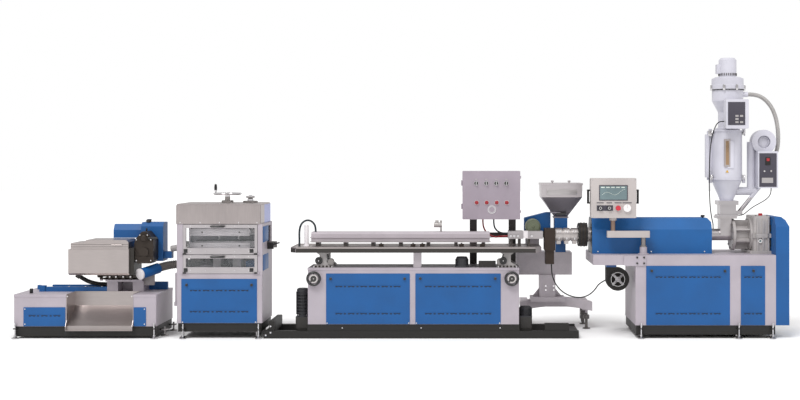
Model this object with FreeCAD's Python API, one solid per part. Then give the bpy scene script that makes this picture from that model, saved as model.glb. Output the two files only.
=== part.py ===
import FreeCAD, Part
import math
import os
from FreeCAD import Vector

# Profile extrusion line, left to right: cutter, haul-off, calibration table,
# co-extruder and main extruder with its hopper dryer. Millimetres, +X along the line
# from cutter to extruder, +Y to the back, +Z up. The origin is the middle of the
# table's base rail, on the floor.

# Line
AXIS_HEIGHT = 965.0
AXIS_BEHIND_FRONT = 400.0
RUNNING_GAP = 0.5
TOUCH = 0.3

# Calibration table
RAIL_LENGTH = 3000.0
RAIL_HEIGHT = 71.0
RAIL_DEPTH = 550.0
RAIL_FLANGE = 60.0
SKIRT_HEIGHT = 63.0
TABLE_CABINET_LENGTH = 2010.0
TABLE_CABINET_LEFT = 421.0
TABLE_CABINET_DEPTH = 470.0
TABLE_CABINET_HEIGHT = 535.0
TABLE_JACK_HEIGHT = 145.0
TABLE_TOP_LENGTH = 2396.0
TABLE_TOP_LEFT = 251.0
TABLE_TOP_DEPTH = 585.0
TABLE_TOP_HEIGHT = 50.0
TABLE_TOP_CHAMFER = 60.0
TABLE_TOP_LIP = 6.0
TROUGH_LENGTH = 1740.0
TROUGH_LEFT = 165.0
TROUGH_WIDTH = 200.0
TROUGH_HEIGHT = 100.0
TROUGH_LEG_HEIGHT = 35.0
CALIBRATOR_LENGTH = 148.0
CALIBRATOR_WIDTH = 180.0
CALIBRATOR_HEIGHT = 75.0
DIE_GAP = 8.0
WHEEL_RADIUS = 71.0
WHEEL_RIM_RADIUS = 11.0
WHEEL_SHAFT = 30.0
MOTOR_RADIUS = 62.0
MOTOR_LENGTH = 270.0
CONTROL_BOX_WIDTH = 571.0
CONTROL_BOX_HEIGHT = 478.0
CONTROL_BOX_DEPTH = 190.0
CONTROL_BOX_BOTTOM = 1110.0
CONTROL_BOX_LEFT = 1889.0
CONTROL_BOX_BEHIND = 450.0
CONTROL_BOX_WALL = 3.0
CONTROL_DOOR = 22.0
POST_WIDTH = 72.0
POST_SPACING = 388.0

# Haul-off
HAUL_GAP_TO_RAIL = 11.0
HAUL_WIDTH = 813.0
HAUL_DEPTH = 600.0
HAUL_FOOT_HEIGHT = 63.0
HAUL_PLINTH_HEIGHT = 82.0
HAUL_CABINET_HEIGHT = 469.0
HAUL_HOUSING_HEIGHT = 190.0
HAUL_WINDOW_HEIGHT = 474.0
HAUL_WALL = 12.0
HAUL_FRAME_BAR = 62.0
GUARD_THICKNESS = 24.0
GUARD_PANE = 5.0
LOWER_GUARD_HEIGHT = 176.0
GUARD_GAP = 6.0
PIN_RADIUS = 3.0
TRACK_LENGTH = 660.0
TRACK_WIDTH = 100.0
TRACK_STAND_DEPTH = 50.0
GUIDE_SETBACK = 25.0
GUIDE_OFFSET = 96.0
UPPER_TRACK_HEIGHT = 74.0
LOWER_TRACK_HEIGHT = 56.0
TRACK_GAP = 62.0
TRACK_LIFT = 40.0
LIFT_WHEEL_RADIUS = 139.0
LIFT_WHEEL_RIM = 11.0
LIFT_WHEEL_RISE = 98.0
GUIDE_RADIUS = 15.0

# Cutter
CUTTER_GAP = 195.0
CUTTER_WIDTH = 1354.0
CUTTER_DEPTH = 670.0
CUTTER_FOOT_HEIGHT = 17.0
CUTTER_PLINTH_HEIGHT = 97.0
CUTTER_CABINET_HEIGHT = 303.0
CHUTE_WIDTH = 636.0
CHUTE_LEFT = 499.0
CHUTE_DEPTH = 273.0
CHUTE_SHEET = 4.0
CHUTE_LIP = 40.0
DECK_RAIL_HEIGHT = 45.0
DECK_RAIL_WIDTH = 40.0
DECK_RAIL_FRONT = 150.0
DECK_RAIL_SPACING = 340.0
CARRIAGE_WIDTH = 355.0
CARRIAGE_LEFT = 807.0
CARRIAGE_DEPTH = 380.0
CARRIAGE_HEIGHT = 120.0
CARRIAGE_PILLAR = 105.0
SLIDE_HEIGHT = 53.0
HOOD_WIDTH = 580.0
HOOD_LEFT = 485.0
HOOD_DEPTH = 330.0
HOOD_FRONT = 100.0
HOOD_HEIGHT = 250.0
LID_HEIGHT = 88.0
GEAR_PLATE_WIDTH = 179.0
GEAR_PLATE_HEIGHT = 306.0
GEAR_PLATE_DEPTH = 196.0
DUST_PIPE_RADIUS = 51.0

# Co-extruder
COEX_COLUMN_WIDTH = 160.0
COEX_COLUMN_BEHIND = 715.0
COEX_COLUMN_HEIGHT = 340.0
COEX_COLUMN_BASE = 320.0
COEX_BEAM_SPAN = 725.0
COEX_BEAM_DEPTH = 110.0
COEX_BEAM_HEIGHT = 90.0
COEX_BEAM_RISE = 48.0
COEX_CABINET_WIDTH = 560.0
COEX_CABINET_HEIGHT = 225.0
COEX_CABINET_DEPTH = 300.0
COEX_HOPPER_WIDTH = 404.0
COEX_HOPPER_HEIGHT = 138.0
COEX_CONE_HEIGHT = 198.0
COEX_THROAT = 128.0
COEX_SHEET = 3.0
COEX_MOTOR_RADIUS = 75.0
DIE_FLANGE_RADIUS = 116.0
DIE_FLANGE_LENGTH = 88.0
DIE_BAND_RADIUS = 66.0
DIE_BAND_LENGTH = 230.0
DIE_BODY_LENGTH = 104.0
CASTER_RADIUS = 50.0
CASTER_WIDTH = 26.0

# Extruder
EXTRUDER_GAP = 136.0
BEAM_HEIGHT = 95.0
EXTRUDER_DEPTH = 800.0
EXTRUDER_TOP = 791.0
EXTRUDER_PLINTH_TOP = 124.0
EXTRUDER_PLINTH_HEIGHT = 89.0
BEAM_OVERHANG = 402.0
EXTRUDER_POST = 101.0
COVER_LENGTH = 1160.0
COVER_HEIGHT = 342.0
COVER_DEPTH = 400.0
COVER_CHAMFER = 108.0
PANEL_THICKNESS = 4.0
SMALL_BAY = 236.0
BELT_GUARD_WIDTH = 128.0
BELT_GUARD_HEIGHT = 1027.0
GEARBOX_WIDTH = 166.0
GEARBOX_HEIGHT = 375.0
BELL_LENGTH = 184.0
FEED_RADIUS = 58.0
FEED_LENGTH = 220.0
THROAT_WIDTH = 143.0
SOCKET_RADIUS = 35.0
SOCKET_HEIGHT = 72.0
ARM_LENGTH = 292.0
ARM_HEIGHT = 63.0
ARM_WIDTH = 66.0
PENDANT_WIDTH = 433.0
PENDANT_HEIGHT = 380.0
PENDANT_DEPTH = 140.0
PENDANT_FOOT = 26.0
POST_RADIUS = 23.0
FAN_RADIUS = 112.0
FAN_WIDTH = 110.0

# Hopper dryer
DRYER_RADIUS = 150.0
DRYER_HEIGHT = 482.0
DRYER_CONE_HEIGHT = 206.0
DRYER_NECK_RADIUS = 64.0
DRYER_FLANGE = 196.0
LOADER_RADIUS = 151.0
LOADER_HEIGHT = 108.0
LOADER_CONE = 112.0
LOADER_MOTOR_RADIUS = 86.0
LOADER_MOTOR_HEIGHT = 184.0
BLOWER_RADIUS = 118.0
BLOWER_WIDTH = 120.0
DRYER_BOX_WIDTH = 194.0
DRYER_BOX_HEIGHT = 358.0
DRYER_BOX_DEPTH = 160.0

# Worked out once: planes that several machines share
FRONT = -RAIL_DEPTH / 2
AXIS_Y = FRONT + AXIS_BEHIND_FRONT
AXIS_Z = AXIS_HEIGHT
RAIL_LEFT = -RAIL_LENGTH / 2
BEAM_LEFT = -RAIL_LEFT + EXTRUDER_GAP
COVER_LEFT = BEAM_LEFT + 7.0
COVER_RIGHT = COVER_LEFT + COVER_LENGTH
DIE_FACE = COVER_LEFT - DIE_FLANGE_LENGTH - 30.0 - DIE_BAND_LENGTH - DIE_BODY_LENGTH - 8.0

X = Vector(1, 0, 0)
Y = Vector(0, 1, 0)
Z = Vector(0, 0, 1)
NODES = {}


def keep(name, *solids):
    """Hold a node's solids until they are written."""
    NODES[name] = list(solids)


def box(x0, x1, y0, y1, z0, z1):
    """Block between two corners."""
    return Part.makeBox(x1 - x0, y1 - y0, z1 - z0, Vector(x0, y0, z0))


def rod(start, axis, radius, length):
    """Round bar that starts at a point and runs along an axis."""
    return Part.makeCylinder(radius, length, start, axis)


def bar(start, end, radius):
    """Round bar between two points."""
    run = end - start
    return Part.makeCylinder(radius, run.Length, start, run)


def prism(points, run):
    """Closed flat outline pushed along a vector."""
    return Part.Face(Part.makePolygon(points + [points[0]])).extrude(run)


def side_prism(outline, y0, y1):
    """Outline in X and Z, pushed from y0 to y1."""
    return prism([Vector(x, y0, z) for x, z in outline], Vector(0, y1 - y0, 0))


def end_prism(outline, x0, x1):
    """Outline in Y and Z, pushed from x0 to x1."""
    return prism([Vector(x0, y, z) for y, z in outline], Vector(x1 - x0, 0, 0))


def plan_prism(outline, z0, z1):
    """Outline in X and Y, pushed from z0 to z1."""
    return prism([Vector(x, y, z0) for x, y in outline], Vector(0, 0, z1 - z0))


def turned(profile, foot, axis):
    """Solid of revolution from pairs of radius and height above its foot."""
    side = X if abs(axis.dot(X)) < 0.5 else Z
    points = [foot + side * r + axis * h for r, h in profile]
    face = Part.Face(Part.makePolygon(points + [points[0]]))
    return face.revolve(foot, axis, 360)


def joined(*shapes):
    """One solid from shapes that touch or cross."""
    whole = shapes[0].fuse(list(shapes[1:])) if len(shapes) > 1 else shapes[0]
    return whole.removeSplitter()


def along(shape, axis):
    """Straight edges of a shape that run along an axis."""
    straight = [e for e in shape.Edges if isinstance(e.Curve, Part.Line)]
    return [e for e in straight if abs(abs(e.Curve.Direction.dot(axis)) - 1) < 1e-6]


def rounded(shape, radius, axis):
    """Shape with its edges along one axis rounded."""
    return shape.makeFillet(radius, along(shape, axis))


def handwheel(hub, axis, rim_radius, grip, hub_radius, shaft):
    """Spoked handwheel whose hub's back face is at a point and faces the axis."""
    side = X
    other = axis.cross(side)
    mid = hub + axis * (shaft + grip)
    parts = [Part.makeTorus(rim_radius - grip, grip, mid, axis)]
    parts.append(rod(hub, axis, hub_radius, shaft + 2 * grip))
    for index in range(3):
        turn = math.radians(90 + 120 * index)
        direction = side * math.cos(turn) + other * math.sin(turn)
        start = mid + direction * (hub_radius * 0.5)
        parts.append(rod(start, direction, grip * 0.6, rim_radius - grip - hub_radius * 0.5))
    return joined(*parts)


def hinge(middle, axis, fixed_arm, moving_arm, length=44.0, radius=7.0):
    """Pin hinge: lugs and pin of the fixed side, and the barrel of the moving side."""
    quarter = length / 4
    pin = rod(middle - axis * (length / 2), axis, PIN_RADIUS, length)
    fixed = [pin]
    for start in (-length / 2, quarter + RUNNING_GAP):
        foot = middle + axis * start
        lug = rod(foot, axis, radius, quarter - RUNNING_GAP)
        centre = foot + axis * ((quarter - RUNNING_GAP) / 2)
        fixed += [lug, bar(centre, centre + fixed_arm, radius * 0.6)]
    barrel = rod(middle - axis * quarter, axis, radius, length / 2)
    arm = bar(middle, middle + moving_arm, radius * 0.7)
    bore = rod(middle - axis * length, axis, PIN_RADIUS + TOUCH, 2 * length)
    return joined(*fixed), joined(barrel, arm).cut(bore)


def hose(name, points, diameter):
    """Tube along straight runs joined by tangent arcs, as large as the runs allow."""
    spots = [Vector(*p) for p in points]
    edges = []
    last = spots[0]
    radii = []
    for before, corner, after in zip(spots, spots[1:], spots[2:]):
        inward = (corner - before).normalize()
        outward = (after - corner).normalize()
        turn = inward.getAngle(outward)
        shorter = min((corner - before).Length, (after - corner).Length)
        back = 0.45 * shorter
        radius = back / math.tan(turn / 2)
        radii.append(radius)
        start = corner - inward * back
        end = corner + outward * back
        inside = (outward - inward).normalize()
        middle = corner + inside * (radius / math.cos(turn / 2) - radius)
        edges.append(Part.LineSegment(last, start).toShape())
        edges.append(Part.Arc(start, middle, end).toShape())
        last = end
    edges.append(Part.LineSegment(last, spots[-1]).toShape())
    route = Part.Wire(edges)
    ring = Part.Circle(spots[0], (spots[1] - spots[0]).normalize(), diameter / 2)
    tube = route.makePipeShell([Part.Wire(ring.toShape())], True, False)
    section = math.pi * diameter ** 2 / 4
    print("%s length %.0f tightest %.0f volume share %.3f"
          % (name, route.Length, min(radii), tube.Volume / (section * route.Length)))
    keep(name, tube)


def levelling_foot(x, y, height, pad=38.0, stud=10.0):
    """Adjusting stud on a flat round pad, from the floor to a height."""
    pad_height = min(14.0, height * 0.6)
    profile = [(0, 0), (pad, 0), (pad, pad_height * 0.5), (stud * 1.6, pad_height),
               (stud, pad_height), (stud, height), (0, height)]
    return turned(profile, Vector(x, y, 0), Z)


def panel(x0, x1, z0, z1, plane, slots=(), slot_width=46.0, slot_height=7.0):
    """Sheet panel on a front plane with rows of short louvre slots."""
    sheet = box(x0, x1, plane - PANEL_THICKNESS, plane, z0, z1)
    sheet = rounded(sheet, 6.0, Y)
    holes = []
    for row_z in slots:
        count = max(2, int((x1 - x0) * 0.8 / 100))
        pitch = (x1 - x0) * 0.8 / count
        for index in range(count):
            left = (x0 + x1) / 2 + (index - count / 2) * pitch + (pitch - slot_width) / 2
            holes.append(box(left, left + slot_width, plane - PANEL_THICKNESS, plane - 1.0,
                             row_z, row_z + slot_height))
    return sheet.cut(holes) if holes else sheet


# Cutter

CUTTER_RIGHT = RAIL_LEFT - HAUL_GAP_TO_RAIL - HAUL_WIDTH - CUTTER_GAP
CUTTER_LEFT = CUTTER_RIGHT - CUTTER_WIDTH
CUTTER_FLOOR = CUTTER_FOOT_HEIGHT + CUTTER_PLINTH_HEIGHT
DECK = CUTTER_FLOOR + CUTTER_CABINET_HEIGHT
RAIL_TOP = DECK + DECK_RAIL_HEIGHT
CARRIAGE_X = CUTTER_LEFT + CARRIAGE_LEFT
CARRIAGE_TOP = DECK + CARRIAGE_HEIGHT
HOOD_X = CUTTER_LEFT + HOOD_LEFT
HOOD_Y = FRONT + HOOD_FRONT
HOOD_Z = CARRIAGE_TOP + SLIDE_HEIGHT
LID_Z = HOOD_Z + HOOD_HEIGHT


def cutter_plinth():
    """Black base frame with outrigger feet at both ends."""
    inset = 8.0
    frame = box(CUTTER_LEFT + inset, CUTTER_RIGHT - inset, FRONT + inset,
                FRONT + CUTTER_DEPTH - inset, CUTTER_FOOT_HEIGHT, CUTTER_FLOOR)
    reach = 60.0
    parts = [frame]
    for x in (CUTTER_LEFT - reach / 2, CUTTER_RIGHT + reach / 2):
        for y in (FRONT + 210.0, FRONT + CUTTER_DEPTH - 90.0):
            inner = CUTTER_LEFT + inset if x < CUTTER_LEFT else CUTTER_RIGHT - inset
            low, high = sorted((inner, x + math.copysign(reach / 2, x - inner)))
            parts.append(box(low, high, y - 30, y + 30, 55, 67))
            parts.append(levelling_foot(x, y, 85.0, pad=36.0, stud=9.0))
    return joined(*parts)


def cutter_cabinet():
    """Grey cabinet with a rolled top lip and the chute's bay cut into its front."""
    body = box(CUTTER_LEFT, CUTTER_RIGHT, FRONT, FRONT + CUTTER_DEPTH, CUTTER_FLOOR, DECK - 26)
    body = rounded(body, 8.0, Z)
    lip = box(CUTTER_LEFT - 3, CUTTER_RIGHT + 3, FRONT - 3, FRONT + CUTTER_DEPTH + 3,
              DECK - 26, DECK)
    lip = rounded(lip, 10.0, Z)
    left = CUTTER_LEFT + CHUTE_LEFT
    bay = box(left, left + CHUTE_WIDTH, FRONT - 10, FRONT + CHUTE_DEPTH, CUTTER_FLOOR, DECK + 1)
    return joined(body, lip).cut(bay)


def catch_chute():
    """Stainless scoop: two sides, a back with a fold and a floor that slopes out."""
    left = CUTTER_LEFT + CHUTE_LEFT
    right = left + CHUTE_WIDTH
    back = FRONT + CHUTE_DEPTH
    sheet = CHUTE_SHEET
    fold_z = CUTTER_FLOOR + CUTTER_CABINET_HEIGHT * 0.55
    toe_z = 75.0
    outside = [(FRONT - CHUTE_LIP, toe_z), (FRONT - CHUTE_LIP, toe_z + 40),
               (FRONT - 4, CUTTER_FLOOR + 60), (FRONT - 4, DECK + sheet), (back, DECK + sheet),
               (back, fold_z), (FRONT - 4, CUTTER_FLOOR), (FRONT - 4, toe_z)]
    solid = end_prism(outside, left, right)
    inside = [(FRONT - CHUTE_LIP - 1, toe_z + sheet), (FRONT - CHUTE_LIP - 1, DECK + 20),
              (back - sheet, DECK + 20), (back - sheet, fold_z + sheet),
              (FRONT - 4, CUTTER_FLOOR + sheet + 2), (FRONT - 8, toe_z + sheet)]
    hollow = end_prism(inside, left + sheet, right - sheet)
    return solid.cut(hollow)


def cutter_rails():
    """Two blue guide rails along the deck with end stops and a black end switch."""
    parts = []
    for y in (FRONT + DECK_RAIL_FRONT, FRONT + DECK_RAIL_FRONT + DECK_RAIL_SPACING):
        left = CUTTER_LEFT + 205.0
        right = CARRIAGE_X - RUNNING_GAP
        if y > FRONT + CHUTE_DEPTH:
            parts.append(box(left, right, y, y + DECK_RAIL_WIDTH, DECK, RAIL_TOP))
            parts.append(box(CARRIAGE_X + CARRIAGE_WIDTH + RUNNING_GAP, CUTTER_RIGHT - 10,
                             y, y + DECK_RAIL_WIDTH, DECK, RAIL_TOP + 30))
    front_y = FRONT + CHUTE_DEPTH + 6
    parts.append(box(CUTTER_LEFT + 205.0, CARRIAGE_X - RUNNING_GAP, front_y,
                     front_y + DECK_RAIL_WIDTH, DECK, RAIL_TOP))
    parts.append(box(CUTTER_LEFT + 150.0, CUTTER_LEFT + 204.0, front_y - 10,
                     front_y + DECK_RAIL_WIDTH + 10, DECK, RAIL_TOP + 12))
    parts.append(box(CUTTER_LEFT + 60.0, CUTTER_LEFT + 85.0, FRONT + 480, FRONT + 530,
                     DECK, DECK + 42))
    return parts


def saw_carriage():
    """Bridge on two pillars with a cross slide on top and its locking knob."""
    y0 = FRONT + CHUTE_DEPTH + 4
    y1 = FRONT + DECK_RAIL_FRONT + CARRIAGE_DEPTH + 40
    right = CARRIAGE_X + CARRIAGE_WIDTH
    left_pillar = box(CARRIAGE_X, CARRIAGE_X + CARRIAGE_PILLAR, y0, y1, DECK, CARRIAGE_TOP)
    right_pillar = box(right - CARRIAGE_PILLAR, right, y0, y1, DECK, CARRIAGE_TOP)
    bridge = box(CARRIAGE_X, right, y0 - 60, y1, CARRIAGE_TOP - 18, CARRIAGE_TOP)
    back = box(CARRIAGE_X, right, y1 - 120, y1, DECK, CARRIAGE_TOP)
    dovetail = end_prism([(y0 - 50, CARRIAGE_TOP), (y1 - 10, CARRIAGE_TOP),
                          (y1 - 30, CARRIAGE_TOP + 18), (y0 - 30, CARRIAGE_TOP + 18)],
                         CARRIAGE_X - 20, right - 8)
    saddle = box(CARRIAGE_X + 15, right - 60, y0 - 70, y1 - 10, CARRIAGE_TOP + 18, HOOD_Z)
    knob = turned([(0, 0), (9, 0), (9, 14), (22, 18), (22, 40), (0, 40)],
                  Vector(CARRIAGE_X - 20, y0 - 20, CARRIAGE_TOP + 9), X * -1)
    return joined(left_pillar, right_pillar, bridge, back, dovetail, saddle, knob)


LID_LEFT = HOOD_X + 20.0
LID_PIVOT = Vector(LID_LEFT - 9.0, HOOD_Y + HOOD_DEPTH / 2, LID_Z + 25.0)


def lid_hinge():
    """Hinge at the left end of the lid, as its fixed and its moving side."""
    return hinge(LID_PIVOT, Y, Vector(0, 0, LID_Z - LID_PIVOT.z - 2),
                 Vector(LID_LEFT - LID_PIVOT.x + 4, 0, 0), length=160.0, radius=8.0)


CONDUIT_DIAMETER = 44.0
CONDUIT_START = Vector(HOOD_X + 70.0, HOOD_Y + 150.0, HOOD_Z - 26.0)
CONDUIT_WAY = Vector(0.745, 0.298, -0.596).normalize()


def saw_hood():
    """Stainless hood with a slanted front foot, below the stepped lid."""
    y1 = HOOD_Y + HOOD_DEPTH
    right = HOOD_X + HOOD_WIDTH
    outline = [(HOOD_Y + 30, HOOD_Z), (y1, HOOD_Z), (y1, LID_Z), (HOOD_Y, LID_Z),
               (HOOD_Y, HOOD_Z + 20)]
    body = end_prism(outline, HOOD_X, right)
    flange = box(right, right + 45, HOOD_Y + 20, y1 - 20, HOOD_Z, LID_Z + 10)
    gland = bar(CONDUIT_START - CONDUIT_WAY * 40, CONDUIT_START, CONDUIT_DIAMETER / 2 + 5)
    return joined(body, flange, gland, lid_hinge()[0])


def saw_lid():
    """Stepped lid of the hood, hinged at its left end."""
    y0 = HOOD_Y + 12
    y1 = HOOD_Y + HOOD_DEPTH - 6
    left = LID_LEFT
    right = HOOD_X + HOOD_WIDTH - 6
    low = LID_Z + RUNNING_GAP
    outline = [(left, low), (right, low), (right, low + 66), (right - 24, low + LID_HEIGHT),
               (left + 150, low + LID_HEIGHT), (left + 130, low + LID_HEIGHT - 22),
               (left, low + LID_HEIGHT - 30)]
    body = side_prism(outline, y0, y1)
    handle = bar(Vector(right - 60, y0 - 14, low + 40), Vector(right - 160, y0 - 14, low + 40), 6)
    posts = [bar(Vector(right - d, y0 - 14, low + 40), Vector(right - d, y0 + 2, low + 40), 5)
             for d in (62, 158)]
    return joined(body, lid_hinge()[1], handle, *posts)


def saw_gear_plate():
    """Dark gear case with a gabled top, its eye bolt and the blade drive boss."""
    left = HOOD_X + HOOD_WIDTH + 45
    right = left + GEAR_PLATE_WIDTH
    y0 = HOOD_Y + 50
    y1 = y0 + GEAR_PLATE_DEPTH
    low = HOOD_Z + 110.0
    high = low + GEAR_PLATE_HEIGHT
    middle = (left + right) / 2
    case = side_prism([(left, low + 30), (left + 25, low), (right - 25, low), (right, low + 30),
                       (right, high - 78), (middle + 22, high), (middle - 22, high),
                       (left, high - 78)], y0, y1)
    boss = rod(Vector(middle, y0 - 16, low + 110), Y, 46, 16)
    eye = Part.makeTorus(14, 5, Vector(middle, (y0 + y1) / 2, high + 12), X)
    return joined(case, boss, eye)


def saw_drive_guard():
    """Blue two-stage guard over the saw's belt drive, with a bevelled top."""
    plate_left = HOOD_X + HOOD_WIDTH + 45
    y0 = HOOD_Y + 50 + GEAR_PLATE_DEPTH
    y1 = y0 + 190
    low = HOOD_Z + 118.0
    left = plate_left - 285.0
    middle = plate_left + 10.0
    right = middle + 215.0
    lower = end_prism([(y0 + 90, LID_Z + LID_HEIGHT + 2), (y1, LID_Z + LID_HEIGHT + 2),
                       (y1, LID_Z + LID_HEIGHT + 136), (y0 + 130, LID_Z + LID_HEIGHT + 136),
                       (y0 + 90, LID_Z + LID_HEIGHT + 80)], left, middle)
    tall = end_prism([(y0, low), (y1, low), (y1, LID_Z + LID_HEIGHT + 158),
                      (y0 + 36, LID_Z + LID_HEIGHT + 158), (y0, LID_Z + LID_HEIGHT + 120)],
                     middle, right)
    neck = box(middle - 60, middle, y0 + 94, y1, low + 60, LID_Z + LID_HEIGHT + 4)
    knob = turned([(0, 0), (8, 0), (8, 10), (20, 14), (20, 30), (0, 30)],
                  Vector(middle + 60, y0 + 90, LID_Z + LID_HEIGHT + 158), Z)
    outlet = box(right, right + 75, y0 + 40, y0 + 120, low + 24, low + 90)
    return joined(lower, tall, neck, knob, outlet)


DUST_START = Vector(HOOD_X + HOOD_WIDTH + 105.0, FRONT + 150.0, HOOD_Z + 10.0)
DUST_MOUTH = Vector(HOOD_X + HOOD_WIDTH + 225.0, FRONT + 330.0, HOOD_Z + 50.0)


def dust_pipe():
    """Blue extraction pipe with a white cap, leaning up towards the flexible duct."""
    way = (DUST_MOUTH - DUST_START).normalize()
    pipe = bar(DUST_START, DUST_MOUTH, DUST_PIPE_RADIUS)
    cap = bar(DUST_START - way * 16, DUST_START, DUST_PIPE_RADIUS + 3)
    y0 = FRONT + CHUTE_DEPTH + 24
    bracket = box(CARRIAGE_X + CARRIAGE_WIDTH, DUST_MOUTH.x - 30, y0, y0 + 30,
                  CARRIAGE_TOP - 60, DUST_MOUTH.z - 24)
    return joined(pipe, cap, bracket)


# Haul-off

HAUL_RIGHT = RAIL_LEFT - HAUL_GAP_TO_RAIL
HAUL_LEFT = HAUL_RIGHT - HAUL_WIDTH
HAUL_BACK = FRONT + HAUL_DEPTH
HAUL_FLOOR = HAUL_FOOT_HEIGHT + HAUL_PLINTH_HEIGHT
HAUL_SHELF = HAUL_FLOOR + HAUL_CABINET_HEIGHT
HAUL_CEILING = HAUL_SHELF + HAUL_WINDOW_HEIGHT
HAUL_TOP = HAUL_CEILING + HAUL_HOUSING_HEIGHT
HAUL_MIDDLE = (HAUL_LEFT + HAUL_RIGHT) / 2
TRACK_Y = AXIS_Y - TRACK_WIDTH / 2
TRACK_BACK = TRACK_Y + TRACK_WIDTH
GUIDE_Y = TRACK_BACK + GUIDE_SETBACK
LOWER_TRACK_TOP = HAUL_CEILING - TRACK_LIFT - UPPER_TRACK_HEIGHT - TRACK_GAP - 8
UPPER_TRACK_LOW = LOWER_TRACK_TOP + TRACK_GAP


def haul_plinth():
    """Black plinth on four levelling feet."""
    inset = 10.0
    parts = [box(HAUL_LEFT + inset, HAUL_RIGHT - inset, FRONT + inset, HAUL_BACK - inset,
                 HAUL_FOOT_HEIGHT, HAUL_FLOOR)]
    for x in (HAUL_LEFT + 50, HAUL_RIGHT - 62):
        for y in (FRONT + 60, HAUL_BACK - 60):
            parts.append(levelling_foot(x, y, HAUL_FOOT_HEIGHT + 1))
    return joined(*parts)


def haul_cabinet():
    """Grey cabinet with a service duct along its left side."""
    body = rounded(box(HAUL_LEFT, HAUL_RIGHT, FRONT, HAUL_BACK, HAUL_FLOOR, HAUL_SHELF), 8.0, Z)
    duct = box(HAUL_LEFT - 44, HAUL_LEFT + 4, FRONT + 120, FRONT + 330, HAUL_FLOOR + 190,
               HAUL_SHELF - 4)
    foot = box(HAUL_LEFT - 50, HAUL_LEFT + 4, FRONT + 110, FRONT + 340, HAUL_FLOOR + 150,
               HAUL_FLOOR + 190)
    return joined(body, duct, foot)


def haul_housing():
    """Stainless housing over the tracks, with a folded rim round its top."""
    body = rounded(box(HAUL_LEFT - 8, HAUL_RIGHT - 14, FRONT - 6, HAUL_BACK, HAUL_CEILING,
                       HAUL_TOP - 12), 14.0, Z)
    rim = rounded(box(HAUL_LEFT - 2, HAUL_RIGHT - 20, FRONT, HAUL_BACK - 6, HAUL_TOP - 12,
                      HAUL_TOP), 14.0, Z)
    return joined(body, rim)


LOWER_GUARD_LOW = HAUL_SHELF + GUARD_GAP / 2
UPPER_GUARD_LOW = LOWER_GUARD_LOW + LOWER_GUARD_HEIGHT + GUARD_GAP
UPPER_GUARD_HEIGHT = HAUL_CEILING - GUARD_GAP - UPPER_GUARD_LOW
GUARD_LEFT = HAUL_LEFT + HAUL_FRAME_BAR
GUARD_RIGHT = HAUL_RIGHT - HAUL_FRAME_BAR * 0.75
GUARD_FRONT = FRONT - 6.0
PIVOT_Y = GUARD_FRONT - 8.0
PIVOT_RISE = 6.0


def guard_hinges(low):
    """Hinges at both ends of a guard's lower rail, fixed sides first."""
    fixed = []
    moving = []
    for x, way in ((GUARD_LEFT + 14, -1), (GUARD_RIGHT - 14, 1)):
        middle = Vector(x, PIVOT_Y, low + PIVOT_RISE)
        sides = hinge(middle, X, Vector(0, 5, -5), Vector(0, 10, 6), length=64.0, radius=6.5)
        stile = GUARD_LEFT - 10 if way < 0 else GUARD_RIGHT + 10
        x0, x1 = sorted((stile, x + way * 17))
        strap = box(x0, x1, PIVOT_Y - 3, PIVOT_Y + 4, middle.z - 6, middle.z + 6)
        x0, x1 = sorted((stile, stile + way * 6))
        cheek = box(x0 - 3, x1 + 3, PIVOT_Y - 3, FRONT + 1, middle.z - 6, middle.z + 6)
        pin = rod(middle - X * 32, X, PIN_RADIUS, 64)
        fixed.append(joined(strap, cheek, pin))
        moving.append(sides[1])
    return fixed, moving


def haul_walls():
    """Side and back walls of the head, its front stiles and the fixed hinge straps."""
    shell = box(HAUL_LEFT, HAUL_RIGHT, FRONT, HAUL_BACK, HAUL_SHELF, HAUL_CEILING)
    inner = box(HAUL_LEFT + HAUL_WALL, HAUL_RIGHT - HAUL_WALL, FRONT - 1, HAUL_BACK - HAUL_WALL,
                HAUL_SHELF, HAUL_CEILING)
    pass_low = LOWER_TRACK_TOP - 70
    pass_high = UPPER_TRACK_LOW + 90
    passage = box(HAUL_LEFT - 1, HAUL_RIGHT + 1, TRACK_Y - 60, TRACK_Y + TRACK_WIDTH + 70,
                  pass_low, pass_high)
    duct_port = box(HAUL_LEFT - 1, HAUL_LEFT + HAUL_WALL + 1, AXIS_Y + 40, AXIS_Y + 160,
                    HAUL_SHELF + 4, HAUL_SHELF + 124)
    walls = shell.cut([inner, passage, duct_port])
    stiles = [box(HAUL_LEFT, GUARD_LEFT - GUARD_GAP / 2, FRONT, FRONT + 30, HAUL_SHELF,
                  HAUL_CEILING),
              box(GUARD_RIGHT + GUARD_GAP / 2, HAUL_RIGHT, FRONT, FRONT + 30, HAUL_SHELF,
                  HAUL_CEILING)]
    straps = guard_hinges(LOWER_GUARD_LOW)[0] + guard_hinges(UPPER_GUARD_LOW)[0]
    return joined(walls, *stiles, *straps)


def guard_frame(low, height, rail, handle_left):
    """Framed window guard with a bow handle on its top rail."""
    y0 = GUARD_FRONT
    y1 = GUARD_FRONT + GUARD_THICKNESS
    frame = box(GUARD_LEFT, GUARD_RIGHT, y0, y1, low, low + height)
    window = box(GUARD_LEFT + 26, GUARD_RIGHT - 26, y0 - 1, y1 + 1, low + rail,
                 low + height - 33)
    frame = frame.cut(window)
    bow_z = low + height - 16
    bow = bar(Vector(handle_left, y0 - 22, bow_z), Vector(handle_left + 138, y0 - 22, bow_z), 7)
    legs = [bar(Vector(x, y0 - 22, bow_z), Vector(x, y0 + 2, bow_z), 6)
            for x in (handle_left + 6, handle_left + 132)]
    return joined(frame, bow, *legs, *guard_hinges(low)[1])


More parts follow.
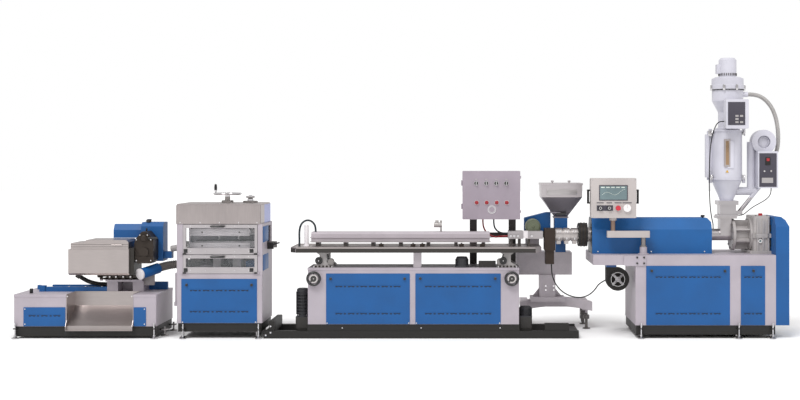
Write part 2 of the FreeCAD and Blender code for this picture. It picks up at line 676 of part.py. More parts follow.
def guard_pane(low, height, rail):
    """Clear pane that fills a guard's window."""
    middle = GUARD_FRONT + GUARD_THICKNESS / 2
    return box(GUARD_LEFT + 26, GUARD_RIGHT - 26, middle - GUARD_PANE / 2,
               middle + GUARD_PANE / 2, low + rail, low + height - 33)


def track_beam(low, height):
    """Track with round ends where its belt turns."""
    x0 = HAUL_MIDDLE - TRACK_LENGTH / 2
    x1 = HAUL_MIDDLE + TRACK_LENGTH / 2
    beam = box(x0, x1, TRACK_Y, TRACK_Y + TRACK_WIDTH, low, low + height)
    return rounded(beam, height * 0.47, Y)


SCREW_BORE = 20.0


def upper_track():
    """Upper track with two rear guide ears and a bore for the lifting screw."""
    low = UPPER_TRACK_LOW + 10
    high = UPPER_TRACK_LOW + UPPER_TRACK_HEIGHT - 8
    beam = track_beam(UPPER_TRACK_LOW, UPPER_TRACK_HEIGHT)
    ears = [box(x - 30, x + 30, TRACK_BACK - 2, TRACK_BACK + TRACK_STAND_DEPTH, low, high)
            for x in guide_places()]
    bores = [rod(Vector(x, GUIDE_Y, low - 1), Z, GUIDE_RADIUS + RUNNING_GAP, high - low + 2)
             for x in guide_places()]
    bores.append(rod(Vector(HAUL_MIDDLE, AXIS_Y, UPPER_TRACK_LOW + SCREW_BORE), Z,
                     GUIDE_RADIUS + RUNNING_GAP, UPPER_TRACK_HEIGHT))
    bolts = [rod(Vector(HAUL_MIDDLE + dx, TRACK_Y, UPPER_TRACK_LOW + 22), Y * -1, 11, 10)
             for dx in (-215, 145)]
    return joined(joined(beam, *ears).cut(bores), *bolts)


def lower_track():
    """Lower track on brackets that stand on the cabinet, with the two guide rods."""
    low = LOWER_TRACK_TOP - LOWER_TRACK_HEIGHT
    beam = track_beam(low, LOWER_TRACK_HEIGHT)
    stand_top = low + 10
    stands = [box(x - 40, x + 40, TRACK_Y + 20, TRACK_BACK + TRACK_STAND_DEPTH, HAUL_SHELF,
                  stand_top) for x in guide_places()]
    bolts = [rod(Vector(HAUL_MIDDLE + dx, TRACK_Y, low + 26), Y * -1, 11, 10)
             for dx in (-215, 145)]
    rods = [rod(Vector(x, GUIDE_Y, stand_top - 1), Z, GUIDE_RADIUS,
                HAUL_CEILING - stand_top + 1) for x in guide_places()]
    return joined(beam, *stands, *bolts, *rods)


def guide_places():
    """Middles of the two guide rods along the head."""
    return (HAUL_MIDDLE - GUIDE_OFFSET, HAUL_MIDDLE + GUIDE_OFFSET)


DUCT_END = Vector(HAUL_LEFT + 194.0, AXIS_Y + 60.0, HAUL_SHELF + 96.0)
DUCT_BEND = Vector(HAUL_LEFT + 52.0, AXIS_Y + 102.0, HAUL_SHELF + 62.0)
DUCT_WAY = (DUCT_END - DUCT_BEND).normalize()


def haul_lift():
    """Lifting screw, its bearing flange, the pressure gauge base and the duct's collar."""
    screw_low = UPPER_TRACK_LOW + SCREW_BORE + TRACK_LIFT + 2
    parts = [rod(Vector(HAUL_MIDDLE, AXIS_Y, screw_low), Z, GUIDE_RADIUS, HAUL_CEILING - screw_low)]
    parts.append(turned([(0, 0), (58, 0), (58, 22), (26, 26), (26, 60), (0, 60)],
                        Vector(HAUL_MIDDLE, AXIS_Y, HAUL_TOP), Z))
    gauge_x = HAUL_MIDDLE + 225.0
    parts.append(turned([(0, 0), (72, 0), (72, 18), (9, 22), (9, 44), (42, 48), (42, 62),
                         (0, 62)], Vector(gauge_x, AXIS_Y, HAUL_TOP), Z))
    collar = bar(DUCT_END, DUCT_END + DUCT_WAY * 50, 50)
    arm = box(DUCT_END.x + 18, DUCT_END.x + 52, DUCT_END.y + 22, HAUL_BACK - HAUL_WALL,
              DUCT_END.z + 14, DUCT_END.z + 40)
    parts.append(joined(collar, arm))
    return parts


def lift_wheel():
    """Handwheel with a crank handle on top of the lifting screw."""
    foot = Vector(HAUL_MIDDLE, AXIS_Y, HAUL_TOP + 60 + RUNNING_GAP)
    wheel = handwheel(foot, Z, LIFT_WHEEL_RADIUS, LIFT_WHEEL_RIM, 24.0, 16.0)
    grip_foot = foot + Vector(-LIFT_WHEEL_RADIUS + 22, 0, 16 + LIFT_WHEEL_RIM)
    grip = turned([(0, 0), (7, 0), (7, 16), (12, 20), (14, 60), (11, 92), (0, 96)], grip_foot, Z)
    return joined(wheel, grip)


def haul_brackets():
    """Roller brackets at both ends of the passage, the right one with a lever."""
    low = LOWER_TRACK_TOP - 60
    parts = []
    for face, way in ((HAUL_LEFT, -1), (HAUL_RIGHT, 1)):
        x0, x1 = sorted((face, face + way * 62))
        plate = box(x0, x1, TRACK_Y - 62, TRACK_Y - 46, low - 14, low + 48)
        roller = rod(Vector(face + way * 32, TRACK_Y - 46, low + 34), Y, 17, 200)
        tail = box(x0, x1, TRACK_Y + 154, TRACK_Y + 168, low - 14, low + 48)
        parts.append(joined(plate, roller, tail))
    lever_foot = Vector(HAUL_RIGHT + 62, TRACK_Y - 54, low + 30)
    parts[1] = joined(parts[1], bar(lever_foot - Vector(6, 0, 0), lever_foot + Vector(58, 0, 18), 7))
    return parts


# Calibration table

TABLE_LEFT = RAIL_LEFT + TABLE_CABINET_LEFT
TABLE_RIGHT = TABLE_LEFT + TABLE_CABINET_LENGTH
SKIRT_TOP = RAIL_HEIGHT + SKIRT_HEIGHT
CABINET_TOP = SKIRT_TOP + TABLE_CABINET_HEIGHT
BED_LOW = CABINET_TOP + TABLE_JACK_HEIGHT
BED_TOP = BED_LOW + TABLE_TOP_HEIGHT
BED_LEFT = RAIL_LEFT + TABLE_TOP_LEFT
BED_RIGHT = BED_LEFT + TABLE_TOP_LENGTH
TABLE_BACK = FRONT + TABLE_CABINET_DEPTH


def base_rail():
    """Base of two rails and cross members, with end plates above its left end."""
    right = -RAIL_LEFT
    parts = []
    for y0 in (FRONT, FRONT + RAIL_DEPTH - RAIL_FLANGE):
        parts.append(box(RAIL_LEFT, right, y0, y0 + RAIL_FLANGE, 0, RAIL_HEIGHT - RUNNING_GAP))
    for x in (RAIL_LEFT, -40.0, right - 80):
        parts.append(box(x, x + 80, FRONT + RAIL_FLANGE - 1, FRONT + RAIL_DEPTH - RAIL_FLANGE + 1,
                         0, RAIL_HEIGHT - 12))
    stop_x = RAIL_LEFT + 53
    parts.append(box(stop_x, stop_x + 47, FRONT + 8, FRONT + RAIL_DEPTH - 8, RAIL_HEIGHT - 14,
                     RAIL_HEIGHT + 91))
    return joined(*parts)


def rail_channel():
    """Raised channel on the right end of the base."""
    right = -RAIL_LEFT
    x0 = right - 94 - 230
    outline = [(FRONT + 8, RAIL_HEIGHT - RUNNING_GAP), (FRONT + 20, RAIL_HEIGHT - RUNNING_GAP),
               (FRONT + 20, RAIL_HEIGHT + 52), (FRONT + 78, RAIL_HEIGHT + 52),
               (FRONT + 78, RAIL_HEIGHT - RUNNING_GAP), (FRONT + 90, RAIL_HEIGHT - RUNNING_GAP),
               (FRONT + 90, RAIL_HEIGHT + 66), (FRONT + 8, RAIL_HEIGHT + 66)]
    return end_prism(outline, x0, right - 94)


def table_skirt():
    """Black skirt between cabinet and rails, with the running shoes inside."""
    return joined(box(TABLE_LEFT - 4, TABLE_RIGHT + 4, FRONT + 4, TABLE_BACK - 4, RAIL_HEIGHT,
                      SKIRT_TOP),
                  box(TABLE_LEFT - 110, TABLE_LEFT + 10, FRONT + 60, FRONT + 250, RAIL_HEIGHT,
                      RAIL_HEIGHT + 12),
                  box(TABLE_RIGHT - 10, TABLE_RIGHT + 120, FRONT + 60, FRONT + 250, RAIL_HEIGHT,
                      RAIL_HEIGHT + 12))


def table_cabinet():
    """Long grey cabinet with a rounded top lip."""
    body = box(TABLE_LEFT, TABLE_RIGHT, FRONT, TABLE_BACK, SKIRT_TOP, CABINET_TOP - 22)
    body = rounded(body, 8.0, Z)
    lip = rounded(box(TABLE_LEFT - 3, TABLE_RIGHT + 3, FRONT - 3, TABLE_BACK + 3,
                      CABINET_TOP - 22, CABINET_TOP), 10.0, Z)
    return joined(body, lip)


def table_panels():
    """Two blue doors of the table's cabinet."""
    z1 = CABINET_TOP - 52
    rows = (z1 - 125, SKIRT_TOP + 100)
    middle = (TABLE_LEFT + TABLE_RIGHT) / 2
    return [panel(TABLE_LEFT + 175, middle - 34, SKIRT_TOP + 2, z1, FRONT, rows),
            panel(middle + 19, TABLE_RIGHT - 175, SKIRT_TOP + 2, z1, FRONT, rows)]


def table_top():
    """Shallow stainless tray with raised lips and cut front corners."""
    back = FRONT + TABLE_TOP_DEPTH
    cut = TABLE_TOP_CHAMFER
    outline = [(BED_LEFT + cut, FRONT), (BED_RIGHT - cut, FRONT), (BED_RIGHT, FRONT + cut),
               (BED_RIGHT, back), (BED_LEFT, back), (BED_LEFT, FRONT + cut)]
    tray = plan_prism(outline, BED_LOW, BED_TOP)
    edge = 10.0
    inner = [(BED_LEFT + cut + 4, FRONT + edge), (BED_RIGHT - cut - 4, FRONT + edge),
             (BED_RIGHT - edge, FRONT + cut + 4), (BED_RIGHT - edge, back - edge),
             (BED_LEFT + edge, back - edge), (BED_LEFT + edge, FRONT + cut + 4)]
    return tray.cut(plan_prism(inner, BED_TOP - TABLE_TOP_LIP, BED_TOP + 1))


def cooling_trough():
    """Long vacuum trough with a folded cover, on short legs."""
    x0 = BED_LEFT + TROUGH_LEFT
    x1 = x0 + TROUGH_LENGTH
    y0 = AXIS_Y - TROUGH_WIDTH / 2
    y1 = AXIS_Y + TROUGH_WIDTH / 2
    low = BED_TOP - TABLE_TOP_LIP + TROUGH_LEG_HEIGHT
    high = low + TROUGH_HEIGHT
    body = end_prism([(y0, low), (y1, low), (y1, high - 18), (y1 - 18, high), (y0 + 18, high),
                      (y0, high - 18)], x0, x1)
    flange = box(x0 - 12, x1 + 12, y0 - 10, y1 + 10, low + 44, low + 52)
    legs = []
    count = 7
    for index in range(count):
        x = x0 + 60 + (x1 - x0 - 120) * index / (count - 1)
        legs.append(box(x - 16, x + 16, y0 + 10, y1 - 10, BED_TOP - TABLE_TOP_LIP, low))
    return joined(body, flange, *legs)


def calibrators():
    """Dry calibration blocks on a stand, the white distance block and the die-side block."""
    x0 = DIE_FACE - DIE_GAP - 2 * CALIBRATOR_LENGTH - 44
    y0 = AXIS_Y - CALIBRATOR_WIDTH / 2
    y1 = AXIS_Y + CALIBRATOR_WIDTH / 2
    low = AXIS_Z - CALIBRATOR_HEIGHT / 2
    high = AXIS_Z + CALIBRATOR_HEIGHT / 2
    first = box(x0, x0 + CALIBRATOR_LENGTH, y0, y1, low, high)
    spacer = box(x0 + CALIBRATOR_LENGTH, x0 + CALIBRATOR_LENGTH + 48, y0 + 8, y1 - 8,
                 low + 4, high - 4)
    second = box(x0 + CALIBRATOR_LENGTH + 48, x0 + 2 * CALIBRATOR_LENGTH + 44, y0, y1, low, high)
    slot = box(x0 - 1, x0 + 2 * CALIBRATOR_LENGTH + 50, AXIS_Y - 30, AXIS_Y + 30, AXIS_Z - 6,
               AXIS_Z + 6)
    stands = [box(x0 + dx, x0 + dx + 26, y0 + 20, y1 - 20, BED_TOP - TABLE_TOP_LIP, low + 1)
              for dx in (20, 100, 190)]
    nipples = [rod(Vector(x0 + dx, y0, AXIS_Z - 8), Y * -1, 8, 22) for dx in (25, 60, 95, 230)]
    return joined(first, spacer, second, *stands, *nipples).cut(slot)


def trough_fittings():
    """White standpipe at the tray's left end, and the valve on the trough."""
    y = AXIS_Y - 100
    x = BED_LEFT + 120.0
    floor = BED_TOP - TABLE_TOP_LIP
    column = turned([(0, 0), (34, 0), (34, 8), (22, 12), (22, 206), (0, 212)],
                    Vector(x, y, floor), Z)
    trough_top = floor + TROUGH_LEG_HEIGHT + TROUGH_HEIGHT
    valve_x = BED_LEFT + 1408.0
    stem = rod(Vector(valve_x + 20, AXIS_Y, trough_top - 1), Z, 11, 111)
    body = rod(Vector(valve_x - 50, AXIS_Y, trough_top + 66), X, 24, 80)
    cap = rod(Vector(valve_x - 20, AXIS_Y, trough_top + 66), Z, 17, 46)
    return column, joined(stem, body, cap)


def table_jacks():
    """Cast jacks between cabinet and tray, the middle post and the water pump."""
    y0 = FRONT + 60
    parts = []
    for x in (TABLE_LEFT + 140, TABLE_RIGHT - 110):
        profile = [(x - 100, CABINET_TOP), (x + 100, CABINET_TOP), (x + 84, CABINET_TOP + 22),
                   (x + 34, CABINET_TOP + 50), (x + 34, BED_LOW - 26), (x + 70, BED_LOW),
                   (x - 70, BED_LOW), (x - 34, BED_LOW - 26), (x - 34, CABINET_TOP + 50),
                   (x - 84, CABINET_TOP + 22)]
        casting = side_prism(profile, y0, y0 + 110)
        knob = turned([(0, 0), (9, 0), (9, 12), (20, 16), (20, 34), (0, 34)],
                      Vector(x - 40, y0, CABINET_TOP + 66), Y * -1)
        stem = rod(Vector(x - 40, y0 + 10, CABINET_TOP + 66), Y * -1, 9, 12)
        parts.append(joined(casting, box(x - 60, x - 20, y0, y0 + 60, CABINET_TOP + 44,
                                         CABINET_TOP + 88), stem, knob))
        parts.append(side_prism(profile, TABLE_BACK - 150, TABLE_BACK - 50))
    middle = (TABLE_LEFT + TABLE_RIGHT) / 2
    parts.append(box(middle - 4, middle + 72, y0 + 20, y0 + 96, CABINET_TOP, BED_LOW))
    pump_x = middle + 460
    pump = turned([(0, 0), (70, 0), (70, 14), (58, 18), (58, 84), (48, 100), (0, 104)],
                  Vector(pump_x, y0 + 60, CABINET_TOP), Z)
    parts.append(pump)
    parts.append(box(pump_x + 160, pump_x + 325, y0 + 40, y0 + 76, CABINET_TOP, CABINET_TOP + 60))
    return parts


def gear_motor(x, y, low, motor_low, motor_height):
    """Upright finned motor on a worm gearbox."""
    size = MOTOR_RADIUS
    gearbox = rounded(box(x - size, x + size, y - size, y + size, low, motor_low), 14.0, Z)
    profile = [(0, 0), (size * 0.9, 0), (size * 0.9, 14)]
    fins = 7
    pitch = (motor_height - 60) / fins
    for index in range(fins):
        base = 14 + index * pitch
        profile += [(size * 0.86, base), (size * 0.86, base + pitch * 0.45),
                    (size, base + pitch * 0.5), (size, base + pitch)]
    profile += [(size * 0.92, motor_height - 44), (size * 0.92, motor_height - 12),
                (size * 0.7, motor_height), (0, motor_height)]
    motor = turned(profile, Vector(x, y, motor_low), Z)
    return joined(gearbox, motor)


def table_drives():
    """Travel drive at the left end and cross drive at the right end."""
    low = RAIL_HEIGHT + 12
    left = gear_motor(TABLE_LEFT - 4 - MOTOR_RADIUS, FRONT + 150, low, low + 112, MOTOR_LENGTH)
    right_x = TABLE_RIGHT + 4 + MOTOR_RADIUS
    right = gear_motor(right_x, FRONT + 150, low, low + 120, 90.0)
    return [left, right]


def table_wheel(x):
    """Dial handwheel on the cabinet's front."""
    hub = Vector(x, FRONT - TOUCH, CABINET_TOP - 98)
    return handwheel(hub, Y * -1, WHEEL_RADIUS, WHEEL_RIM_RADIUS, 40.0, WHEEL_SHAFT)


BOX_X = RAIL_LEFT + CONTROL_BOX_LEFT
BOX_Y = FRONT + CONTROL_BOX_BEHIND
BOX_TOP = CONTROL_BOX_BOTTOM + CONTROL_BOX_HEIGHT


def door_hinges():
    """Hinges at the left edge of the control box, fixed sides first."""
    fixed = []
    moving = []
    for dz in (118, 348):
        middle = Vector(BOX_X - 7, BOX_Y + 8, BOX_TOP - dz)
        sides = hinge(middle, Z, Vector(1, 22, 0), Vector(12, 4, 0), length=52.0, radius=6.0)
        fixed.append(sides[0])
        fixed.append(box(BOX_X - 9, BOX_X + 3, BOX_Y + 25, BOX_Y + 33, middle.z - 26,
                         middle.z + 26))
        moving.append(sides[1])
    return fixed, moving


def control_box():
    """Switch cabinet, open at the front behind its door, welded to two posts."""
    right = BOX_X + CONTROL_BOX_WIDTH
    y0 = BOX_Y + CONTROL_DOOR + TOUCH
    back = BOX_Y + CONTROL_BOX_DEPTH
    wall = CONTROL_BOX_WALL
    shell = rounded(box(BOX_X, right, y0, back, CONTROL_BOX_BOTTOM, BOX_TOP), 6.0, Y)
    hollow = box(BOX_X + wall, right - wall, y0 - 1, back - wall, CONTROL_BOX_BOTTOM + wall,
                 BOX_TOP - wall)
    plate = box(BOX_X + 40, right - 40, back - 24, back - wall + 0.5, CONTROL_BOX_BOTTOM + 40,
                BOX_TOP - 40)
    parts = [shell.cut(hollow), plate] + door_hinges()[0]
    x0 = BOX_X + 72
    post_y = FRONT + TABLE_TOP_DEPTH + TOUCH
    for x in (x0, x0 + POST_SPACING):
        parts.append(box(x, x + POST_WIDTH, post_y, post_y + 40, CABINET_TOP - 200,
                         CONTROL_BOX_BOTTOM + 1))
        parts.append(box(x, x + POST_WIDTH, TABLE_BACK, post_y + 1, CABINET_TOP - 200,
                         CABINET_TOP - 90))
    parts.append(box(x0 + POST_WIDTH - 1, x0 + POST_SPACING + 1, post_y + 6, post_y + 34,
                     BED_TOP + 60, BED_TOP + 110))
    return joined(*parts)


def box_door():
    """Door of the control box with its switches, lamps, hinges and latches."""
    right = BOX_X + CONTROL_BOX_WIDTH
    y1 = BOX_Y + CONTROL_DOOR
    parts = [rounded(box(BOX_X, right, BOX_Y, y1, CONTROL_BOX_BOTTOM, BOX_TOP), 6.0, Y)]
    parts += door_hinges()[1]
    for index in range(4):
        x = BOX_X + 136 + index * 99.0
        parts.append(turned([(0, 0), (19, 0), (19, 8), (13, 10), (13, 24), (0, 24)],
                            Vector(x, BOX_Y, BOX_TOP - 121), Y * -1))
        parts.append(turned([(0, 0), (20, 0), (20, 8), (15, 10), (12, 20), (0, 24)],
                            Vector(x + 5, BOX_Y, BOX_TOP - 312), Y * -1))
    for dz in (62, 400):
        parts.append(box(right - 1, right + 8, BOX_Y + 2, y1, BOX_TOP - dz - 12,
                         BOX_TOP - dz + 12))
    return joined(*parts)


# Co-extruder

COEX_X = RAIL_LEFT + 2739.0
COEX_Y = FRONT + COEX_COLUMN_BEHIND
COEX_PLATE = COEX_COLUMN_BASE
COEX_COLUMN_TOP = COEX_PLATE + COEX_COLUMN_HEIGHT
COEX_CABINET_LOW = COEX_COLUMN_TOP - 114
COEX_CABINET_TOP = COEX_CABINET_LOW + COEX_CABINET_HEIGHT
HOPPER_X = COEX_X + 136.0
HOPPER_LOW = AXIS_Z + 165.0
LEG_BACK = COEX_Y + 560.0


def arched_beam():
    """Cross beam bowed upwards in the middle."""
    half = COEX_BEAM_SPAN / 2
    middle_x = COEX_X + 90
    low_end = COEX_PLATE - COEX_BEAM_HEIGHT - COEX_BEAM_RISE
    left = Vector(middle_x - half, COEX_Y - COEX_BEAM_DEPTH / 2, low_end)
    right = Vector(middle_x + half, left.y, low_end)
    crown = Vector(middle_x, left.y, low_end + COEX_BEAM_RISE)
    up = Vector(0, 0, COEX_BEAM_HEIGHT)
    lower = Part.Arc(left, crown, right).toShape()
    upper = Part.Arc(right + up, crown + up, left + up).toShape()
    sides = [Part.makeLine(right, right + up), Part.makeLine(left + up, left)]
    face = Part.Face(Part.Wire([lower, sides[0], upper, sides[1]]))
    return face.extrude(Vector(0, COEX_BEAM_DEPTH, 0))


def coex_stand():
    """Stand: arched beam, rear legs, column with gussets, jacks and the grey cabinet."""
    top = COEX_PLATE
    half = COEX_COLUMN_WIDTH / 2
    low_end = top - COEX_BEAM_HEIGHT - COEX_BEAM_RISE
    middle_x = COEX_X + 90
    parts = [arched_beam()]
    parts.append(box(COEX_X - 170, COEX_X + 172, COEX_Y - 110, COEX_Y + 110, top - 40, top + 8))
    parts.append(box(COEX_X - half, COEX_X + half, COEX_Y - half, COEX_Y + half, top,
                     COEX_CABINET_LOW + 2))
    for way in (-1, 1):
        gusset = side_prism([(COEX_X + way * half, top), (COEX_X + way * (half + 74), top),
                             (COEX_X + way * half, top + 90)], COEX_Y - 8, COEX_Y + 8)
        parts.append(gusset)
        leg_x = middle_x + way * (COEX_BEAM_SPAN / 2 - 55)
        parts.append(box(leg_x - 40, leg_x + 40, COEX_Y - 20, LEG_BACK, low_end + 4, low_end + 74))
        for y in (COEX_Y + 8, LEG_BACK - 190):
            parts.append(turned([(0, 0), (38, 0), (38, 8), (14, 14), (14, 96), (30, 100),
                                 (30, 138), (14, 142), (14, low_end + 8), (0, low_end + 8)],
                                Vector(leg_x, y, 0), Z))
    reach = COEX_BEAM_SPAN / 2 - 55
    parts.append(box(middle_x - reach, middle_x + reach, LEG_BACK - 320, LEG_BACK - 250,
                     low_end + 10, low_end + 60))
    parts.append(box(COEX_X - 312, COEX_X - 312 + COEX_CABINET_WIDTH, COEX_Y - 50,
                     COEX_Y - 50 + COEX_CABINET_DEPTH, COEX_CABINET_LOW, COEX_CABINET_TOP))
    return joined(*parts)


def caster_place(way):
    """Middle of a caster wheel under the rear leg's end."""
    leg_x = COEX_X + 90 + way * (COEX_BEAM_SPAN / 2 - 55)
    return Vector(leg_x, LEG_BACK - 60, CASTER_RADIUS + 5)


def caster_wheel(way):
    """Caster wheel with a crowned tread and a bore for its axle."""
    middle = caster_place(way)
    half = CASTER_WIDTH / 2
    wheel = turned([(7, 0), (CASTER_RADIUS * 0.5, 0), (CASTER_RADIUS * 0.55, 3),
                    (CASTER_RADIUS - 4, 3), (CASTER_RADIUS, 7), (CASTER_RADIUS, CASTER_WIDTH - 7),
                    (CASTER_RADIUS - 4, CASTER_WIDTH - 3),
                    (CASTER_RADIUS * 0.55, CASTER_WIDTH - 3), (CASTER_RADIUS * 0.5, CASTER_WIDTH),
                    (7, CASTER_WIDTH)], middle - X * half, X)
    return wheel


def caster_forks():
    """Forks that carry the caster wheels under the legs."""
    low_end = COEX_PLATE - COEX_BEAM_HEIGHT - COEX_BEAM_RISE
    parts = []
    for way in (-1, 1):
        middle = caster_place(way)
        half = CASTER_WIDTH / 2 + 5
        top = low_end + 4
        crown = box(middle.x - half - 5, middle.x + half + 5, middle.y - 32, middle.y + 32,
                    middle.z + CASTER_RADIUS + 8, top)
        cheeks = [box(x, x + 5, middle.y - 20, middle.y + 20, middle.z - 14,
                      middle.z + CASTER_RADIUS + 9) for x in (middle.x - half - 5, middle.x + half)]
        axle = rod(middle - X * (half + 5), X, 6.0, 2 * (half + 5))
        parts.append(joined(crown, *cheeks, axle))
    return parts


def square_funnel(width, throat, height, low, sheet):
    """Square funnel with a straight box above it, open at both ends."""
    def ring(size, z):
        half = size / 2
        corners = [(HOPPER_X - half, COEX_Y - half), (HOPPER_X + half, COEX_Y - half),
                   (HOPPER_X + half, COEX_Y + half), (HOPPER_X - half, COEX_Y + half)]
        points = [Vector(x, y, z) for x, y in corners]
        return Part.makePolygon(points + [points[0]])
    outer = Part.makeLoft([ring(throat, low), ring(width, low + height)], True)
    inner = Part.makeLoft([ring(throat - 2 * sheet, low), ring(width - 2 * sheet, low + height)],
                          True)
    return outer, inner


def coex_hopper():
    """Stainless hopper: square box with a rim, funnel below and a lid with two knobs."""
    width = COEX_HOPPER_WIDTH
    top = HOPPER_LOW + COEX_CONE_HEIGHT
    outer, inner = square_funnel(width, COEX_THROAT, COEX_CONE_HEIGHT, HOPPER_LOW, COEX_SHEET)
    half = width / 2
    walls = box(HOPPER_X - half, HOPPER_X + half, COEX_Y - half, COEX_Y + half, top,
                top + COEX_HOPPER_HEIGHT - 18)
    inside = box(HOPPER_X - half + COEX_SHEET, HOPPER_X + half - COEX_SHEET,
                 COEX_Y - half + COEX_SHEET, COEX_Y + half - COEX_SHEET, top,
                 top + COEX_HOPPER_HEIGHT - 18)
    lid = box(HOPPER_X - half - 6, HOPPER_X + half + 6, COEX_Y - half - 6, COEX_Y + half + 6,
              top + COEX_HOPPER_HEIGHT - 18, top + COEX_HOPPER_HEIGHT)
    knobs = [turned([(0, 0), (6, 0), (6, 8), (14, 12), (14, 26), (0, 28)],
                    Vector(HOPPER_X + dx, COEX_Y - half + 60, top + COEX_HOPPER_HEIGHT), Z)
             for dx in (-92, 76)]
    collar = box(HOPPER_X - 76, HOPPER_X + 76, COEX_Y - 76, COEX_Y + 76, HOPPER_LOW - 14,
                 HOPPER_LOW)
    gate = box(HOPPER_X - 110, HOPPER_X - 8, COEX_Y - 96, COEX_Y - 60, HOPPER_LOW + 36,
               HOPPER_LOW + 58)
    shell = joined(outer, walls).cut([inner, inside])
    return joined(shell, lid, collar, gate, *knobs)


COEX_MOTOR_Y = FRONT + 505.0
COEX_MOTOR_LENGTH = 190.0


def coex_barrel():
    """Barrel block below the hopper, the barrel to the die and the drive motor."""
    feed = box(HOPPER_X - 64, HOPPER_X + 64, COEX_Y - 90, COEX_Y + 90, AXIS_Z - 60,
               HOPPER_LOW - 14)
    pedestal = box(HOPPER_X - 50, HOPPER_X + 50, COEX_Y - 40, COEX_Y + 60, COEX_CABINET_TOP,
                   AXIS_Z - 59)
    barrel = bar(Vector(HOPPER_X, COEX_Y - 80, AXIS_Z), Vector(HOPPER_X, AXIS_Y
                 + DIE_BAND_RADIUS + TOUCH, AXIS_Z), 40)
    motor = turned([(0, 0), (COEX_MOTOR_RADIUS * 0.8, 0), (COEX_MOTOR_RADIUS, 14),
                    (COEX_MOTOR_RADIUS, COEX_MOTOR_LENGTH), (0, COEX_MOTOR_LENGTH)],
                   Vector(COEX_X - 149, COEX_MOTOR_Y, AXIS_Z + 71), Y)
    shelf = box(COEX_X - 215, COEX_X - 80, FRONT + TABLE_TOP_DEPTH + 90, COEX_MOTOR_Y + 340,
                COEX_CABINET_TOP, AXIS_Z + 2)
    return [joined(feed, pedestal, barrel), joined(motor, shelf)]


def coex_drive_guard():
    """Blue guard with a sloping top between motor and hopper."""
    x0 = COEX_X - 229
    x1 = HOPPER_X - 100
    y0 = COEX_MOTOR_Y + COEX_MOTOR_LENGTH
    top_left = AXIS_Z + 148
    return side_prism([(x0, AXIS_Z + 2), (x1, AXIS_Z + 2), (x1, AXIS_Z + 205), (x1 - 40,
                       AXIS_Z + 205), (x0, top_left)], y0, y0 + 150)


# Extruder

BEAM_LOW = EXTRUDER_TOP - BEAM_HEIGHT
COVER_TOP = EXTRUDER_TOP + COVER_HEIGHT
BELL_LEFT = COVER_RIGHT + FEED_LENGTH
GEARBOX_LEFT = BELL_LEFT + BELL_LENGTH
BEAM_RIGHT = GEARBOX_LEFT + GEARBOX_WIDTH
EXTRUDER_BACK = FRONT + EXTRUDER_DEPTH
FRAME_LEFT = BEAM_LEFT + BEAM_OVERHANG
MIDDLE_POST = BEAM_RIGHT - EXTRUDER_POST - SMALL_BAY - EXTRUDER_POST
THROAT_X = COVER_RIGHT + 178.0
THROAT_TOP = AXIS_Z + 182.0


FLANGE_START = COVER_LEFT - DIE_FLANGE_LENGTH - 30.0
DIE_RIGHT = FLANGE_START - DIE_BAND_LENGTH


def heater_bands():
    """Adapter wrapped in three heater bands with their terminal boxes."""
    profile = [(0, 0)]
    pitch = DIE_BAND_LENGTH / 3
    for index in range(3):
        base = index * pitch
        profile += [(DIE_BAND_RADIUS - 12, base), (DIE_BAND_RADIUS - 12, base + 6),
                    (DIE_BAND_RADIUS, base + 6), (DIE_BAND_RADIUS, base + pitch - 6),
                    (DIE_BAND_RADIUS - 12, base + pitch - 6)]
    profile += [(DIE_BAND_RADIUS - 12, DIE_BAND_LENGTH), (0, DIE_BAND_LENGTH)]
    bands = turned(profile, Vector(DIE_RIGHT, AXIS_Y, AXIS_Z), X)
    boxes = [box(DIE_RIGHT + (i + 0.5) * pitch - 20, DIE_RIGHT + (i + 0.5) * pitch + 20,
                 AXIS_Y - 30, AXIS_Y + 30, AXIS_Z - DIE_BAND_RADIUS - 26,
                 AXIS_Z - DIE_BAND_RADIUS + 20) for i in range(3)]
    return joined(bands, *boxes)


def die_head():
    """Die body and black clamp flange, joined by the banded adapter."""
    flange = turned([(0, 0), (DIE_FLANGE_RADIUS, 0), (DIE_FLANGE_RADIUS, DIE_FLANGE_LENGTH),
                     (70, DIE_FLANGE_LENGTH), (70, DIE_FLANGE_LENGTH + 30), (0,
                     DIE_FLANGE_LENGTH + 30)], Vector(FLANGE_START, AXIS_Y, AXIS_Z), X)
    x0 = DIE_RIGHT - DIE_BODY_LENGTH
    body = box(x0, DIE_RIGHT, AXIS_Y - 105, AXIS_Y + 105, AXIS_Z - 150, AXIS_Z + 62)
    nose = box(DIE_FACE, x0, AXIS_Y - 60, AXIS_Y + 60, AXIS_Z - 30, AXIS_Z + 30)
    plug = box(x0 + 10, DIE_RIGHT - 10, AXIS_Y - 80, AXIS_Y + 60, AXIS_Z - 285, AXIS_Z - 149)
    return joined(flange, body, nose, plug, heater_bands())


SOCKET_X = FRAME_LEFT + 88.0
SOCKET_Y = FRONT + 100.0
ARM_LOW = EXTRUDER_TOP + 163.0
PENDANT_X = SOCKET_X - ARM_LENGTH
PENDANT_LOW = COVER_TOP + 10.0


def arm_socket():
    """Bolted socket on the beam that the pendant's arm turns on."""
    return turned([(0, 0), (52, 0), (52, 10), (SOCKET_RADIUS, 14),
                   (SOCKET_RADIUS, SOCKET_HEIGHT), (0, SOCKET_HEIGHT)],
                  Vector(SOCKET_X, SOCKET_Y, EXTRUDER_TOP), Z)


